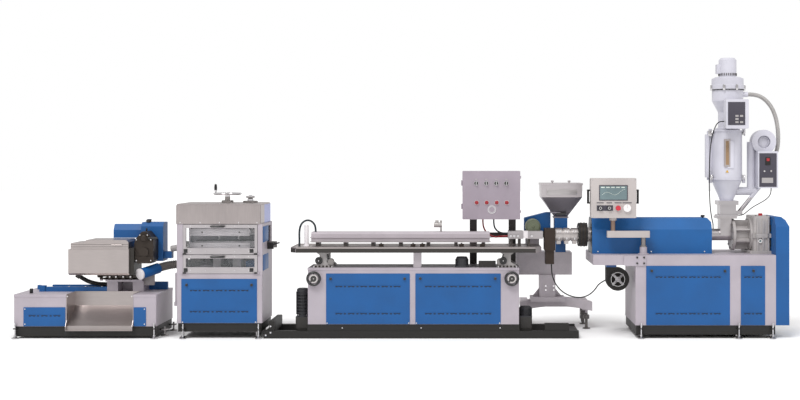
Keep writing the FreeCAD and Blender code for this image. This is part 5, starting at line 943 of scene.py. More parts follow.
@dataclass
class Cutter:
    """Travelling saw cutter with its hood, chute and drive."""

    deck: float = 0.417
    hood_right: float = -2.808

    def dress_nodes(self) -> None:
        """Finish the cutter's CAD nodes."""
        dress("cutter_cabinet", GREY_PAINT)
        dress("catch_chute", STAINLESS)
        dress("cutter_rails", BLUE_PAINT)
        dress("saw_carriage", zoned(
            GREY_PAINT, "Grey carriage with blackened slide",
            Zone((-3.14, -0.2, 0.5385), (-2.6, 0.4, 0.7), "38322E", 0.4, 0.6)))
        dress("saw_hood", zoned(
            STAINLESS, "Brushed stainless hood with black end flange",
            Zone((self.hood_right + 0.0005, -0.2, 0.5), (-2.7, 0.2, 0.9), "2A2622", 0.5, 0.2),
            Zone((-3.36, -0.1, 0.5), (-3.28, 0.05, 0.5895), "24211F", 0.5),
            Zone((-3.40, -0.2, 0.8415), (-3.3685, 0.2, 0.9), "4A4642", 0.4, 0.6)))
        dress("saw_lid", STAINLESS)
        dress("saw_gear_plate", DARK_STEEL)
        dress("dust_pipe", zoned(
            BLUE_PAINT, "Blue pipe on a grey bracket",
            Zone((-2.80, -0.02, 0.4), (-2.5, 0.2, 0.589), "8E8888", 0.5)))

    def details(self) -> None:
        """Add the fittings that the photograph shows on the cutter."""
        Door("cutter_left", -3.780, -3.382, (0.214,),
             screws=((-3.766, 0.136), (-3.766, 0.279))).build()
        Door("cutter_right", -2.733, -2.616,
             screws=((-2.630, 0.136), (-2.630, 0.279))).build()
        block("deck_stop", "line", RUBBER, (-3.760, -0.17, self.deck),
              (-3.735, -0.14, self.deck + 0.045), 0.002)
        front = -0.141
        plate = Sketch()
        plate.turned([(0, 0), (0.030, 0), (0.030, 0.008), (0.018, 0.012), (0.018, 0.022),
                      (0, 0.022)], (-2.672, front, 0.945), Axis.Y, -1.0)
        plate.ring((-2.672, front, 0.945), Axis.Y, 0.044, 0.038, 0.004, -1.0)
        plate.ring((-2.672, front, 0.865), Axis.Y, 0.095, 0.091, 0.003, -1.0)
        plate.box((-2.757, front - 0.004, 0.757), (-2.590, front, 0.764))
        plate.piece("gear_plate_hubs", "line", DARK_STEEL)
        way = Vector((120, 180, 40)).normalized() * MM
        foot = Vector((-2.703, -0.125, 0.600))
        cap = Sketch().rod(tuple(foot - way * 18), tuple(foot - way * 1), 0.0545, sides=40)
        cap.piece("dust_pipe_cap", "line", WHITE_CAP, 0.002)
        spots = ((-2.742, 0.93), (-2.603, 0.93), (-2.742, 0.73), (-2.603, 0.73),
                 (-2.708, 0.975), (-2.636, 0.975))
        HEX.heads("gear_plate_bolts", "line", BRIGHT, Axis.Y,
                  [(x, front - 0.004, z) for x, z in spots], 0.006, 0.008)
        knob = Sketch()
        knob.turned([(0, 0), (0.010, 0), (0.010, 0.02), (0.026, 0.024), (0.026, 0.046),
                     (0.018, 0.052), (0, 0.052)], (-2.69, 0.12, 1.062), Axis.Z)
        knob.rod((-2.63, front - 0.004, 0.945), (-2.545, -0.13, 0.945), 0.011)
        knob.rod((-2.600, front + 0.01, 0.945), (-2.600, front - 0.006, 0.945), 0.007)
        knob.piece("saw_black_knobs", "line", KNOB)
        outlet = Sketch().rod((-2.47, 0.13, 0.825), (-2.405, 0.12, 0.835), 0.03)
        outlet.ring((-2.405, 0.12, 0.835), Axis.X, 0.036, 0.026, 0.008)
        outlet.piece("saw_air_outlet", "line", CAST)
        slide = Sketch()
        slide.rod((-3.13, -0.02, 0.575), (-3.05, -0.02, 0.575), 0.012)
        slide.rod((-3.15, -0.02, 0.575), (-3.13, -0.02, 0.575), 0.02)
        for x in (-3.03, -2.97, -2.90, -2.83):
            slide.box((x, -0.082, 0.548), (x + 0.03, -0.066, 0.588))
        slide.piece("slide_clamps", "line", DARK_STEEL, 0.0015)
        HEX.heads("slide_bolts", "line", BRIGHT, Axis.Y,
                  [(x, -0.0855, 0.568) for x in (-3.015, -2.955, -2.885, -2.815)], 0.008, 0.008)
        HEX.heads("rail_bolts", "line", BRIGHT, Axis.Z,
                  [(x, 0.024, 0.464) for x in (-3.60, -3.44, -3.28, -3.12)], 0.009, 0.006)
        seams = Sketch()
        for z in (0.862, 0.884):
            seams.box((-3.366, -0.1640, z), (-2.816, -0.1625, z + 0.0025))
        seams.piece("lid_seams", "saw_lid", DARK_STEEL)
        HEADS.heads("chute_screws", "line", BRIGHT, Axis.Y,
                    [(-2.750, -0.282, 0.40), (-3.360, -0.282, 0.40)])


@dataclass
class HaulOff:
    """Belt haul-off with window guards and a lifting wheel."""

    right: float = -1.511
    guards: tuple[tuple[str, float, float], ...] = (("upper", 0.798, 1.082),
                                                    ("lower", 0.616, 0.793))
    axles: tuple[float, float] = (-2.112, -1.754)
    gauge: Point = (-1.6925, 0.125, 1.298)

    def dress_nodes(self) -> None:
        """Finish the haul-off's CAD nodes."""
        dress("haul_cabinet", GREY_PAINT)
        dress("haul_housing", zoned(
            STAINLESS_UP, "Brushed stainless housing",
            Zone((-1.5262, -0.06, 1.05), (-1.5, 0.4, 1.3), "8A92C4", 0.35, 0.6)))
        dress("haul_walls", zoned(
            GREY_PAINT, "Grey walls with painted light inside",
            # painted light: the inside of the head is lighter than the grey paint, standing in for
            # light that does not reach it
            Zone((-2.3115, -0.244, 0.6145), (-1.5235, 0.3128, 1.0875), "E4E0E4", 0.45)))
        for name, low, high in self.guards:
            dress("guard_%s_frame" % name, zoned(
                STAINLESS, "Bright guard frame %s" % name,
                Zone((-3, -0.5, low - 0.05), (-1, -0.2815, high + 0.05), "1C1A19", 0.4),
                colour="BEB9BB"))
            dress("guard_%s_pane" % name, CLEAR)
        # the tracks are lighter than the cast grey: partly their own light grey, partly painted
        # light for the dim inside of the head
        dress("upper_track", zoned(CAST, "Grey track lightened as painted light", colour="DCD8DA"))
        dress("lower_track", zoned(
            CAST, "Grey track lightened as painted light with rods",
            Zone((-3, -0.3, 0.9045), (-1, 0.3, 1.2), "B8B6B6", 0.25, 1.0), colour="DAD6D8"))
        dress("haul_fittings", zoned(
            STEEL, "Machined haul fittings",
            Zone((-2.45, -0.2, 0.8), (-2.3242, 0.2, 0.92), "2E2B2A", 0.5, 0.3),
            Zone((-1.5108, -0.2, 0.8), (-1.3, 0.2, 0.95), "1E1C1C", 0.5, 0.3)))
        dress("lift_wheel", zoned(
            BRIGHT, "Polished wheel with black grip",
            Zone((-2.2, -0.3, 1.400), (-1.6, 0.2, 1.6), "161414", 0.35)))

    def details(self) -> None:
        """Add the fittings that the photograph shows on the haul-off."""
        locks = tuple((x, FRONT - 0.004, 0.509) for x in (-2.230, -1.612))
        Door("haul_door", -2.280, -1.561, (0.253, 0.454), locks=locks,
             screws=((-2.268, 0.155), (-1.573, 0.155))).build()
        HEADS.heads("housing_screws", "line", BRIGHT, Axis.Y,
                    [(x, -0.2825, 1.101) for x in (-2.29, -2.10, -1.9175, -1.735, -1.56)])
        for name, low, high in self.guards:
            body = "guard_" + name
            HEADS.heads("guard_%s_screws" % name, body, BRIGHT, Axis.Y,
                        [(x, -0.2825, z) for x in (-2.19, -2.05, -1.77, -1.64)
                         for z in (low + 0.03, high - 0.014)], 0.005, 0.004)
            lugs = Sketch()
            for x in (-2.238, -1.612):
                lugs.box((x - 0.018, -0.288, low + 0.016), (x + 0.018, -0.280, low + 0.052))
                lugs.turned([(0, 0), (0.008, 0), (0.008, 0.012), (0, 0.012)],
                            (x, -0.288, low + 0.034), Axis.Y, -1.0, 16)
            lugs.piece("guard_%s_lugs" % name, body, KNOB, 0.001)
            grip = Sketch().rod((-1.992, -0.303, high - 0.0165), (-1.870, -0.303, high - 0.0165),
                                0.0100)
            grip.piece("guard_%s_grip" % name, body, KNOB, 0.001)
        for name, body, z in (("upper", "upper_track", 0.9625), ("lower", "line", 0.9075)):
            pads = [((x, 0.125, z), (0, 0, 0))
                    for x in [-2.205 + index * 0.0355 for index in range(17)]]
            BLOCKS.place("belt_pads_" + name, body, RUBBER, pads, (0.029, 0.096, 0.0065))
        for name, body, z, tall in (("upper", "upper_track", 1.000, 0.068),
                                    ("lower", "line", 0.872, 0.058)):
            plate = Sketch().box((-2.235, -0.135, z - tall / 2), (-1.655, -0.131, z + tall / 2))
            plate.box((-2.235, -0.131, z + tall / 2 - 0.004), (-1.655, -0.118, z + tall / 2))
            for x in self.axles:
                plate.rod((x, -0.1315, z), (x, 0.076, z), 0.009)
            plate.piece("track_cover_" + name, body, LIGHT_PAINT, 0.0008)
            HEX.heads("track_cover_bolts_" + name, body, DARK_STEEL, Axis.Y,
                      [(x, -0.138, z) for x in self.axles], 0.008, 0.006)
        for x in (-2.206, -1.630):
            roll = Sketch().rod((x, 0.066, 1.003), (x, 0.077, 1.003), 0.020)
            roll.piece("upper_roller_%d" % round(-x * 1000), "upper_track", STEEL)
        side = Sketch()
        for z0, z1 in ((0.64, 0.79), (0.91, 1.06)):
            side.box((self.right, -0.24, z0), (self.right + 0.003, 0.08, z1))
        side.piece("haul_side_panels", "line", BLUE_PAINT, 0.001)
        block("belt_drive_cover", "line", BLUE_PAINT, (-1.726, 0.055, 0.6145),
              (-1.618, 0.20, 0.709), 0.003)
        base = Sketch().box((-1.965, 0.02, 0.6145), (-1.865, 0.09, 0.690))
        base.rod((-1.915, 0.055, 0.690), (-1.915, 0.055, 0.76), 0.014)
        base.piece("belt_tension_base", "line", BLACK_PAINT, 0.002)
        gauge = Sketch().turned([(0, 0), (0.030, 0), (0.030, 0.018), (0.017, 0.026),
                                 (0.024, 0.036), (0.024, 0.046), (0.012, 0.054), (0, 0.055)],
                                self.gauge, Axis.Z)
        x, y, z = self.gauge
        gauge.ring((x, y, z + 0.040), Axis.Z, 0.044, 0.036, 0.007)
        gauge.piece("pressure_knob", "line", BRIGHT)


@dataclass
class CalibrationTable:
    """Vacuum calibration table on its rail, with trough, jacks and drives."""

    body: str = "table"
    wheels: tuple[tuple[str, float], ...] = (("table_wheel_left", -1.018),
                                              ("table_wheel_right", 0.861))
    jacks: tuple[tuple[str, float, int], ...] = (("left", -0.939, 1), ("right", 0.821, -1))

    def dress_nodes(self) -> None:
        """Finish the table's CAD nodes."""
        dress("base_rail", BLACK_PAINT)
        dress("table_skirt", BLACK_PAINT)
        dress("table_cabinet", GREY_PAINT)
        dress("table_panels", BLUE_PAINT)
        dress("table_top", zoned(
            STAINLESS, "Stainless tray with black rail",
            Zone((-1.3, -0.3, 0.80), (1.2, -0.2740, 0.8535), "2B2724", 0.45),
            Zone((-1.3, -0.3, 0.80), (-1.2, 0.4, 0.8535), "2B2724", 0.45),
            Zone((-1.3, -0.3, 0.80), (1.2, 0.4, 0.8145), "2B2724", 0.45)))
        dress("cooling_trough", zoned(
            GREY_PAINT, "Grey trough with bright valve and white standpipe",
            Zone((-1.2, -0.1, 0.85), (-1.0965, 0.1, 1.1), "E6E2E4", 0.4),
            Zone((0.05, 0.05, 0.994), (0.3, 0.2, 1.2), "B8B4B2", 0.3, 1.0),
            # painted shade: the bottom of the trough is dark to stand for the shaded gap beneath
            # it
            Zone((-1.1, -0.1, 0.85), (0.7, 0.3, 0.8915), "3A3634", 0.5), colour="B0A8AE"))
        dress("calibrators", zoned(
            STEEL, "Machined calibration blocks",
            Zone((0.984, 0, 0.9), (1.0305, 0.3, 1.1), "E8E4E6", 0.5),
            Zone((0.8, 0, 0.8), (1.2, 0.3, 0.926), "4A4644", 0.5, 0.4), colour="B5B0B2"))
        dress("table_jacks", zoned(
            CAST, "Grey cast jacks with black knobs",
            Zone((-1.1, -0.26, 0.7), (-0.9, -0.2165, 0.8), "161515", 0.35),
            Zone((0.7, -0.26, 0.7), (0.9, -0.2165, 0.8), "161515", 0.35),
            Zone((0.3, -0.3, 0.6), (0.48, 0.0, 0.8), "3E3E42", 0.5),
            Zone((0.5, -0.2, 0.6), (0.715, -0.1, 0.8), "3A3634", 0.5),
            Zone((-0.09, -0.2, 0.6), (0.0, -0.1, 0.82), "C2BBC0", 0.4)))
        dress("table_drives", zoned(MOTOR, "Dark geared motors",
                                    Zone((-1.3, -0.3, 0), (1.1, 0.1, 0.19), "2A2725", 0.5)))
        for node, x in self.wheels:
            wheel = (x, 0.0, 0.571)
            pointer = (x - 0.024, 0.0, 0.547)
            dress(node, zoned(
                KNOB, "Black wheel with silver ring " + node,
                Disc(wheel, wheel, "C8C4C2", 0.25, 1.0, 0.041),
                Disc(wheel, wheel, "201E1E", 0.4, 0.0, 0.029),
                Disc(pointer, pointer, "201E1E", 0.4, 0.0, 0.010),
                Disc(wheel, wheel, "B8B4B2", 0.25, 1.0, 0.006)))

    def details(self) -> None:
        """Add the fittings that the photograph shows on the table."""
        rows = (0.234, 0.492)
        y = FRONT - 0.004
        Door("table_left", -0.904, -0.108, rows, body=self.body,
             locks=((-0.860, y, 0.567), (-0.158, y, 0.568)),
             screws=((-0.894, 0.146), (-0.118, 0.146))).build()
        Door("table_right", -0.055, 0.756, rows, body=self.body,
             locks=((-0.008, y, 0.570), (0.704, y, 0.570)),
             screws=((-0.045, 0.146), (0.746, 0.146))).build()
        for name, x, low, high in (("left", -1.145, 0.215, 0.43), ("right", 0.997, 0.20, 0.275)):
            middle = (x, -0.125, (low + high) / 2)
            BLOCKS.place("motor_fins_" + name, self.body, MOTOR,
                         around(middle, Axis.Z, 0.0590, 28), (0.010, 0.0022, high - low))
            HEX.place("motor_bolts_" + name, self.body, BRIGHT,
                      around((x, -0.125, low - 0.006), Axis.Z, 0.052, 4, 0.8),
                      (0.006, 0.0, 0.008))
        BLOCKS.place("pump_fins", self.body, MOTOR,
                     around((0.386, -0.155, 0.718), Axis.Z, 0.0585, 24), (0.010, 0.0022, 0.056))
        self.jack_fittings()
        feet = Sketch()
        for x in (-0.42, -0.11, -0.02, 0.36, 0.56):
            feet.box((x, -0.06, 0.858), (x + 0.045, 0.0, 0.884))
            feet.rod((x + 0.022, -0.03, 0.884), (x + 0.022, -0.03, 0.892), 0.008)
        feet.piece("trough_clamps", self.body, DARK_STEEL, 0.002)
        block("trough_lip_shadow", self.body, PLATE, (-1.096, 0.0135, 0.9015),
              (0.668, 0.0155, 0.909))
        HEX.heads("rail_end_bolts", "line", BRIGHT, Axis.Y,
                  [(-1.432, -0.277, 0.055), (-1.432, -0.277, 0.115), (-1.478, -0.277, 0.030)],
                  0.009, 0.008)
        HEADS.heads("skirt_screws", self.body, BRIGHT, Axis.Y,
                    [(x, -0.277, 0.100) for x in (-0.75, 0.0, 0.75)], 0.006, 0.005)
        nozzles = Sketch()
        for x in (0.86, 0.895, 0.93, 1.065):
            nozzles.ring((x, 0.013, 0.957), Axis.Y, 0.011, 0.004, 0.006, -1.0)
        nozzles.piece("calibrator_nozzles", self.body, BRIGHT)

    def jack_fittings(self) -> None:
        """Add the bolts, knobs, levers and gears of the two jacks."""
        centres = [x for _, x, _ in self.jacks]
        HEX.heads("jack_bolts", self.body, BRIGHT, Axis.Z,
                  [(x + step, y, 0.676) for x in centres for y in (-0.235, -0.125)
                   for step in (-0.085, 0.085)], 0.010, 0.012)
        HEX.heads("jack_base_bolts", self.body, DARK_STEEL, Axis.Y,
                  [(x + step * 0.035, -0.2160, 0.680) for x in centres
                   for step in range(-2, 3)], 0.010, 0.008)
        for name, x, side in self.jacks:
            knob = Sketch().turned([(0, 0), (0.036, 0), (0.036, 0.010), (0.030, 0.014),
                                    (0, 0.014)], (x - 0.04, -0.2215, 0.735), Axis.Y, -1.0, 28)
            knob.rod((x + side * 0.040, -0.2235, 0.796), (x + side * 0.052, -0.2235, 0.742),
                     0.0065)
            knob.piece("jack_knob_" + name, self.body, KNOB, 0.001)
            cap = Sketch().turned([(0, 0), (0.007, 0), (0.005, 0.003), (0, 0.003)],
                                  (x - 0.04, -0.2488, 0.735), Axis.Y, -1.0, 16)
            cap.piece("jack_cap_" + name, self.body, BRIGHT)
            middle = x + side * 0.072
            gear = Sketch().rod((middle, -0.2260, 0.724), (middle, -0.1500, 0.724), 0.029)
            gear.box((middle - 0.024, -0.2200, 0.690), (middle + 0.024, -0.1560, 0.724))
            gear.piece("jack_gear_" + name, self.body,
                       zoned(CAST, "Grey cast jack gear", colour="8C8886"), 0.002)


@dataclass
class ControlBox:
    """Switch cabinet on its posts behind the table."""

    front: float = 0.175
    top: float = 1.588

    def dress_nodes(self) -> None:
        """Finish the cabinet and its door."""
        dress("control_box", zoned(
            GREY_PAINT, "Grey control cabinet on dark posts",
            Zone((0.3, 0.1, 0.3), (1.0, 0.5, 1.1095), "332F2E", 0.5, 0.3), colour="9A8F9A"))
        dress("box_door", zoned(
            GREY_PAINT, "Grey door with black switches and red lamps",
            Zone((0.38, 0.1, 1.42), (0.95, 0.1748, 1.5), "1A1918", 0.35),
            Zone((0.38, 0.1, 1.2), (0.95, 0.1748, 1.32), "98202A", 0.3), colour="9A8F9A"))

    def details(self) -> None:
        """Add bezels, label plates and the bare badge ring."""
        y = self.front
        bezels = Sketch()
        labels = Sketch()
        for index in range(4):
            x = 0.525 + index * 0.099
            bezels.ring((x, y, self.top - 0.121), Axis.Y, 0.0225, 0.0185, 0.006, -1.0)
            bezels.ring((x + 0.005, y, self.top - 0.312), Axis.Y, 0.0235, 0.0195, 0.006, -1.0)
            labels.box((x - 0.012, y - 0.002, self.top - 0.086), (x + 0.012, y, self.top - 0.078))
            bezels.box((x - 0.004, y - 0.026, self.top - 0.139),
                       (x + 0.004, y - 0.023, self.top - 0.103))
        bezels.ring((0.679, y, 1.207), Axis.Y, 0.041, 0.034, 0.003, -1.0)
        bezels.ring((0.679, y, 1.207), Axis.Y, 0.030, 0.026, 0.003, -1.0)
        bezels.piece("box_bezels", "box_door", BRIGHT)
        labels.piece("box_labels", "box_door", PLATE)


@dataclass
class SideExtruder:
    """Co-extruder on its arched stand, with hopper, die and heater bands."""

    axis_y: float = 0.125
    axis_z: float = 0.965
    motor: Point = (1.090, 0.231, 1.036)

    def dress_nodes(self) -> None:
        """Finish the co-extruder's CAD nodes."""
        # the stand's grey is lighter than the grey paint: partly its own lighter grey, partly
        # painted light against the shade it stands in
        dress("coex_stand", zoned(
            CAST, "Grey stand lightened as painted light",
            Zone((0.9, 0.2, 0.0), (1.7, 1.1, 0.16), "6A6664", 0.4, 0.5), colour="C6BEC4"))
        for node in ("caster_wheel_left", "caster_wheel_right"):
            dress(node, RUBBER)
        dress("coex_hopper", zoned(
            STAINLESS, "Brushed stainless hopper with darker cone",
            Zone((1.1, 0.2, 1.1), (1.6, 0.7, 1.326), "8C8890", 0.42, 0.8), colour="C4BEC0"))
        dress("coex_barrel", zoned(
            BLUE_PAINT, "Blue feed block, olive motor and steel barrel",
            Zone((1.0, 0.2, 0.9675), (1.18, 0.45, 1.2), "6E7560", 0.45),
            Zone((1.0, 0.2, 0.7), (1.3, 0.6, 0.9675), "BAB2B8", 0.45),
            Zone((1.30, 0.1, 0.9), (1.45, 0.349, 1.02), "8E8A88", 0.35, 0.9)))
        dress("die_head", zoned(
            STEEL, "Steel die with black clamp flange",
            Zone((1.5245, 0.0, 0.8), (1.6135, 0.3, 1.1), "1F1D1C", 0.45, 0.3),
            Zone((1.18, 0.0, 0.6), (1.296, 0.3, 1.05), "3A302A", 0.5, 0.6),
            colour="B8B2B0"))

    def details(self) -> None:
        """Add band clamps, bolts, the motor's end and the hopper's fittings."""
        rings = Sketch()
        for radius in (0.071, 0.058, 0.045, 0.032):
            rings.ring(self.motor, Axis.Y, radius, radius - 0.004, 0.003, -1.0)
        x, _, z = self.motor
        rings.turned([(0, 0), (0.018, 0), (0.014, 0.006), (0, 0.008)], (x, 0.230, z),
                     Axis.Y, -1.0)
        rings.piece("side_motor_cowl", "line", OLIVE_PAINT)
        BLOCKS.place("side_motor_fins", "line", OLIVE_PAINT,
                     around((x, 0.325, z), Axis.Y, 0.0745, 30), (0.006, 0.15, 0.0022))
        block("hopper_label_plate", "line", PLATE, (1.225, 0.228, 1.352), (1.525, 0.232, 1.408),
              0.001)
        HEADS.heads("hopper_label_rivets", "line", STEEL, Axis.Y,
                    [(x, 0.227, 1.380) for x in (1.234, 1.516)], 0.004, 0.003)
        gate = Sketch().box((1.325, 0.33, 1.150), (1.425, 0.372, 1.168))
        gate.rod((1.375, 0.36, 1.168), (1.375, 0.36, 1.22), 0.008)
        gate.turned([(0, 0), (0.016, 0), (0.016, 0.02), (0, 0.026)], (1.375, 0.36, 1.215),
                    Axis.Z)
        gate.piece("hopper_slide_gate", "line", KNOB)
        clamps = []
        for index in range(3):
            x = 1.295 + (index + 0.5) * 0.0767
            clamps += [((x - 0.012, 0.055, 1.0), (0, 0, 0)), ((x + 0.012, 0.055, 1.0), (0, 0, 0)),
                       ((x, 0.0600, 0.93), (0, 0, 0))]
        BLOCKS.place("band_clamps", "line", BRIGHT, clamps, (0.008, 0.014, 0.024))
        HEX.ring_of_heads("clamp_flange_bolts", STEEL, Axis.X,
                          (1.523, self.axis_y, self.axis_z), (0.095, 10, 0.3), (0.010, 0.012))
        groove = Sketch()
        for x in (1.548, 1.580):
            groove.ring((x, self.axis_y, self.axis_z), Axis.X, 0.119, 0.114, 0.010)
        groove.piece("clamp_flange_ribs", "line", DARK_STEEL)
        HEX.heads("stand_bolts", "line", BRIGHT, Axis.Y, [(1.22, 0.328, z) for z in (0.40, 0.44)] +
                  [(1.30, 0.328, z) for z in (0.40, 0.44)], 0.010, 0.008)
        for index, (x, body) in enumerate(((1.0215, "caster_left"), (1.6365, "caster_right"))):
            hub = Sketch().rod((x - 0.0140, 0.94, 0.055), (x + 0.0140, 0.94, 0.055), 0.028)
            hub.piece("caster_hub_%d" % index, body, STEEL)


@dataclass
class Extruder:
    """Main extruder: frame, barrel cover, gearbox, fan and pendant."""

    axis_y: float = 0.125
    axis_z: float = 0.965
    fan: tuple[float, float] = (1.892, 0.544)

    def dress_nodes(self) -> None:
        """Finish the extruder's CAD nodes."""
        dress("extruder_frame", GREY_PAINT)
        dress("barrel_cover", zoned(
            BLUE_PAINT, "Blue barrel cover with black knob",
            Zone((2.68, -0.1, 1.1335), (2.78, 0.3, 1.2), "161415", 0.3),
            Zone((1.6, -0.1, 0.7), (1.6450, 0.4, 1.2), "182430", 0.4), colour="005696"))
        dress("feed_zone", zoned(STEEL, "Machined feed zone", colour="B9B4B5"))
        dress("gearbox", zoned(
            CAST, "Grey cast gearbox with red cap",
            Zone((3.26, -0.02, 1.1545), (3.33, 0.09, 1.2), "A81824", 0.3), colour="ACA7A6"))
        dress("drive_guards", zoned(BLUE_PAINT, "Blue drive guards"))
        dress("machine_panels", BLUE_PAINT)
        dress("machine_plinths", zoned(
            BLACK_PAINT, "Black plinths on bright feet",
            Zone((-2.4, -0.4, -0.01), (-1.5, 0.5, 0.0625), "A8A4A4", 0.3, 1.0),
            Zone((2.0, -0.4, -0.01), (3.5, 0.6, 0.034), "A8A4A4", 0.3, 1.0),
            Zone((-4.0, -0.4, -0.01), (-3.8765, 0.5, 0.12), "A8A4A4", 0.3, 1.0),
            Zone((-2.5155, -0.4, -0.01), (-2.42, 0.5, 0.12), "A8A4A4", 0.3, 1.0)))
        dress("cooling_fan", zoned(
            BLACK_PAINT, "Black blower under a blue bracket",
            Zone((1.7, -0.2, 0.6605), (1.9, 0.1, 0.7), "24518C", 0.4)))
        dress("pendant_arm", zoned(
            GREY_PAINT, "Grey swing arm with steel post",
            Zone((1.80, -0.3, 1.0205), (1.87, -0.1, 1.2), "8A7468", 0.35, 0.8),
            Zone((2.09, -0.3, 0.86), (2.16, -0.1, 0.9535), "8A8482", 0.35, 0.8),
            colour="B0A8A6"))
        dress("pendant", zoned(
            GREY_PAINT, "Light pendant with coloured controls",
            Zone((1.50, -0.4, 1.2), (1.6165, 0.0, 1.5), "161515", 0.4),
            Zone((2.0515, -0.4, 1.2), (2.15, 0.0, 1.5), "161515", 0.4),
            Zone((1.66, -0.4, 1.19), (1.83, -0.2455, 1.29), "2A2828", 0.35),
            Zone((1.84, -0.4, 1.19), (1.91, -0.2455, 1.29), "C02C3C", 0.3),
            Zone((1.92, -0.4, 1.19), (2.0, -0.2455, 1.29), "E6E2E2", 0.35),
            colour="B4ADAB"))

    def details(self) -> None:
        """Add the fittings that the photograph shows on the extruder."""
        y = FRONT - 0.004
        Door("extruder_wide", 2.139, 2.935, (0.234, 0.582),
             locks=((2.191, y, 0.643), (2.887, y, 0.641))).build()
        Door("extruder_narrow", 3.039, 3.269, (0.234, 0.582),
             locks=((3.158, y, 0.643),)).build()
        HEADS.heads("cover_screws", "line", BRIGHT, Axis.Y,
                    [(x, -0.077, 0.812) for x in (1.70, 2.215, 2.73)], 0.006, 0.005)
        HEX.heads("socket_bolts", "line", KNOB, Axis.Y,
                  [(x, -0.2885, z) for x in (2.052, 2.118) for z in (0.715, 0.770)], 0.010, 0.009)
        for name, x, radius, high in (("bell_bolts", 3.020, 0.138, 0.012),
                                      ("bell_rear_bolts", 3.186, 0.150, 0.014)):
            HEX.ring_of_heads(name, STEEL, Axis.X, (x, self.axis_y, self.axis_z),
                              (radius, 12, 0.26), (0.009, high))
        HEX.heads("gearbox_bolts", "line", STEEL, Axis.Y,
                  [(x, -0.084, z) for x in (3.222, 3.345) for z in (0.952, 0.978)], 0.009, 0.010)
        HEX.heads("gearbox_corner_bolts", "line", STEEL, Axis.Z,
                  [(x, -0.04, 1.158) for x in (3.235, 3.345)], 0.010, 0.010)
        glass = Sketch().ring((3.269, -0.075, 0.913), Axis.Y, 0.019, 0.012, 0.007, -1.0)
        glass.piece("oil_glass_ring", "line", BRIGHT)
        pane = Sketch().rod((3.269, -0.0752, 0.913), (3.269, -0.078, 0.913), 0.012)
        pane.piece("oil_glass", "line", DISPLAY)
        # painted shade: black strips before the case stand in for the shade inside its side slots
        slots = Sketch()
        for z0, z1 in ((0.86, 0.925), (1.005, 1.07)):
            slots.box((3.360, -0.0835, z0), (3.3728, -0.0795, z1))
        slots.piece("gearbox_slot_shade", "line", RUBBER)
        self.fan_guard()
        self.operator_screen()

    def fan_guard(self) -> None:
        """Add the cooling fan's wire guard and the blades behind it."""
        fx, fz = self.fan
        cage = Sketch()
        for radius in (0.022, 0.066):
            cage.ring((fx, -0.0885, fz), Axis.Y, radius + 0.0018, radius - 0.0018, 0.003, -1.0)
        for turn in (0.785, 2.356):
            dx, dz = math.cos(turn) * 0.076, math.sin(turn) * 0.076
            for side in (-0.0075, 0.0, 0.0075):
                ox, oz = -math.sin(turn) * side, math.cos(turn) * side
                cage.rod((fx - dx + ox, -0.092, fz - dz + oz),
                         (fx + dx + ox, -0.092, fz + dz + oz), 0.0032, sides=8)
        cage.piece("fan_wire_guard", "line", BRIGHT)
        blades = Sketch()
        for index in range(9):
            angle = 2 * math.pi * index / 9
            tip = (fx + 0.062 * math.cos(angle), -0.060, fz + 0.062 * math.sin(angle))
            root = (fx + 0.022 * math.cos(angle + 0.4), -0.060,
                    fz + 0.022 * math.sin(angle + 0.4))
            blades.rod(root, tip, 0.004, sides=8)
        blades.piece("fan_blades", "line", DARK_STEEL)

    def operator_screen(self) -> None:
        """Dress the pendant: bezel, plain screen with a trace, control plates and knobs."""
        y = -0.2452
        x0, x1, z0, z1 = 1.7015, 1.9605, 1.317, 1.449
        bezel = Sketch()
        edge = 0.007
        for low, high in (((x0 - edge, y - 0.004, z1), (x1 + edge, y, z1 + edge)),
                          ((x0 - edge, y - 0.004, z0 - edge), (x1 + edge, y, z0)),
                          ((x0 - edge, y - 0.004, z0), (x0, y, z1)),
                          ((x1, y - 0.004, z0), (x1 + edge, y, z1))):
            bezel.box(low, high)
        bezel.piece("screen_bezel", "pendant", DARK_GREY_PANEL)
        block("screen_glass", "pendant", DISPLAY, (x0, y - 0.0005, z0), (x1, y + 0.001, z1))
        trace = Sketch()
        spots = [(x0 + 0.02 + 0.0245 * i, z0 + 0.045 + 0.02 * math.sin(i * 0.9) + 0.004 * i)
                 for i in range(10)]
        for (ax, az), (bx, bz) in zip(spots, spots[1:]):
            trace.rod((ax, y - 0.0012, az), (bx, y - 0.0012, bz), 0.0013, sides=6)
        for index in range(5):
            trace.box((x0 + 0.012 + 0.048 * index, y - 0.0012, z1 - 0.018),
                      (x0 + 0.046 + 0.048 * index, y - 0.0006, z1 - 0.009))
        trace.piece("screen_trace", "pendant", TRACE)
        plates = Sketch()
        for index, wide in enumerate((0.034, 0.026, 0.034, 0.044)):
            x = 1.7055 + 0.085 * index
            plates.box((x - wide, y - 0.0015, 1.284), (x + wide, y, 1.292))
        plates.box((1.672, y - 0.0015, 1.212), (1.828, y, 1.264))
        plates.piece("pendant_plates", "pendant", DARK_GREY_PANEL)
        knobs = Sketch()
        knobs.ring((1.7055, y - 0.024, 1.238), Axis.Y, 0.014, 0.009, 0.002, -1.0)
        knobs.ring((1.7905, y - 0.024, 1.238), Axis.Y, 0.014, 0.009, 0.002, -1.0)
        knobs.box((1.958, y - 0.0245, 1.238), (1.963, y - 0.022, 1.268))
        knobs.piece("pendant_knob_marks", "pendant", BRIGHT)
        HEADS.heads("pendant_screws", "pendant", BRIGHT, Axis.Y,
                    [(x, y - 0.001, z) for x in (1.632, 2.036) for z in (1.158, 1.508)], 0.005,
                    0.003)


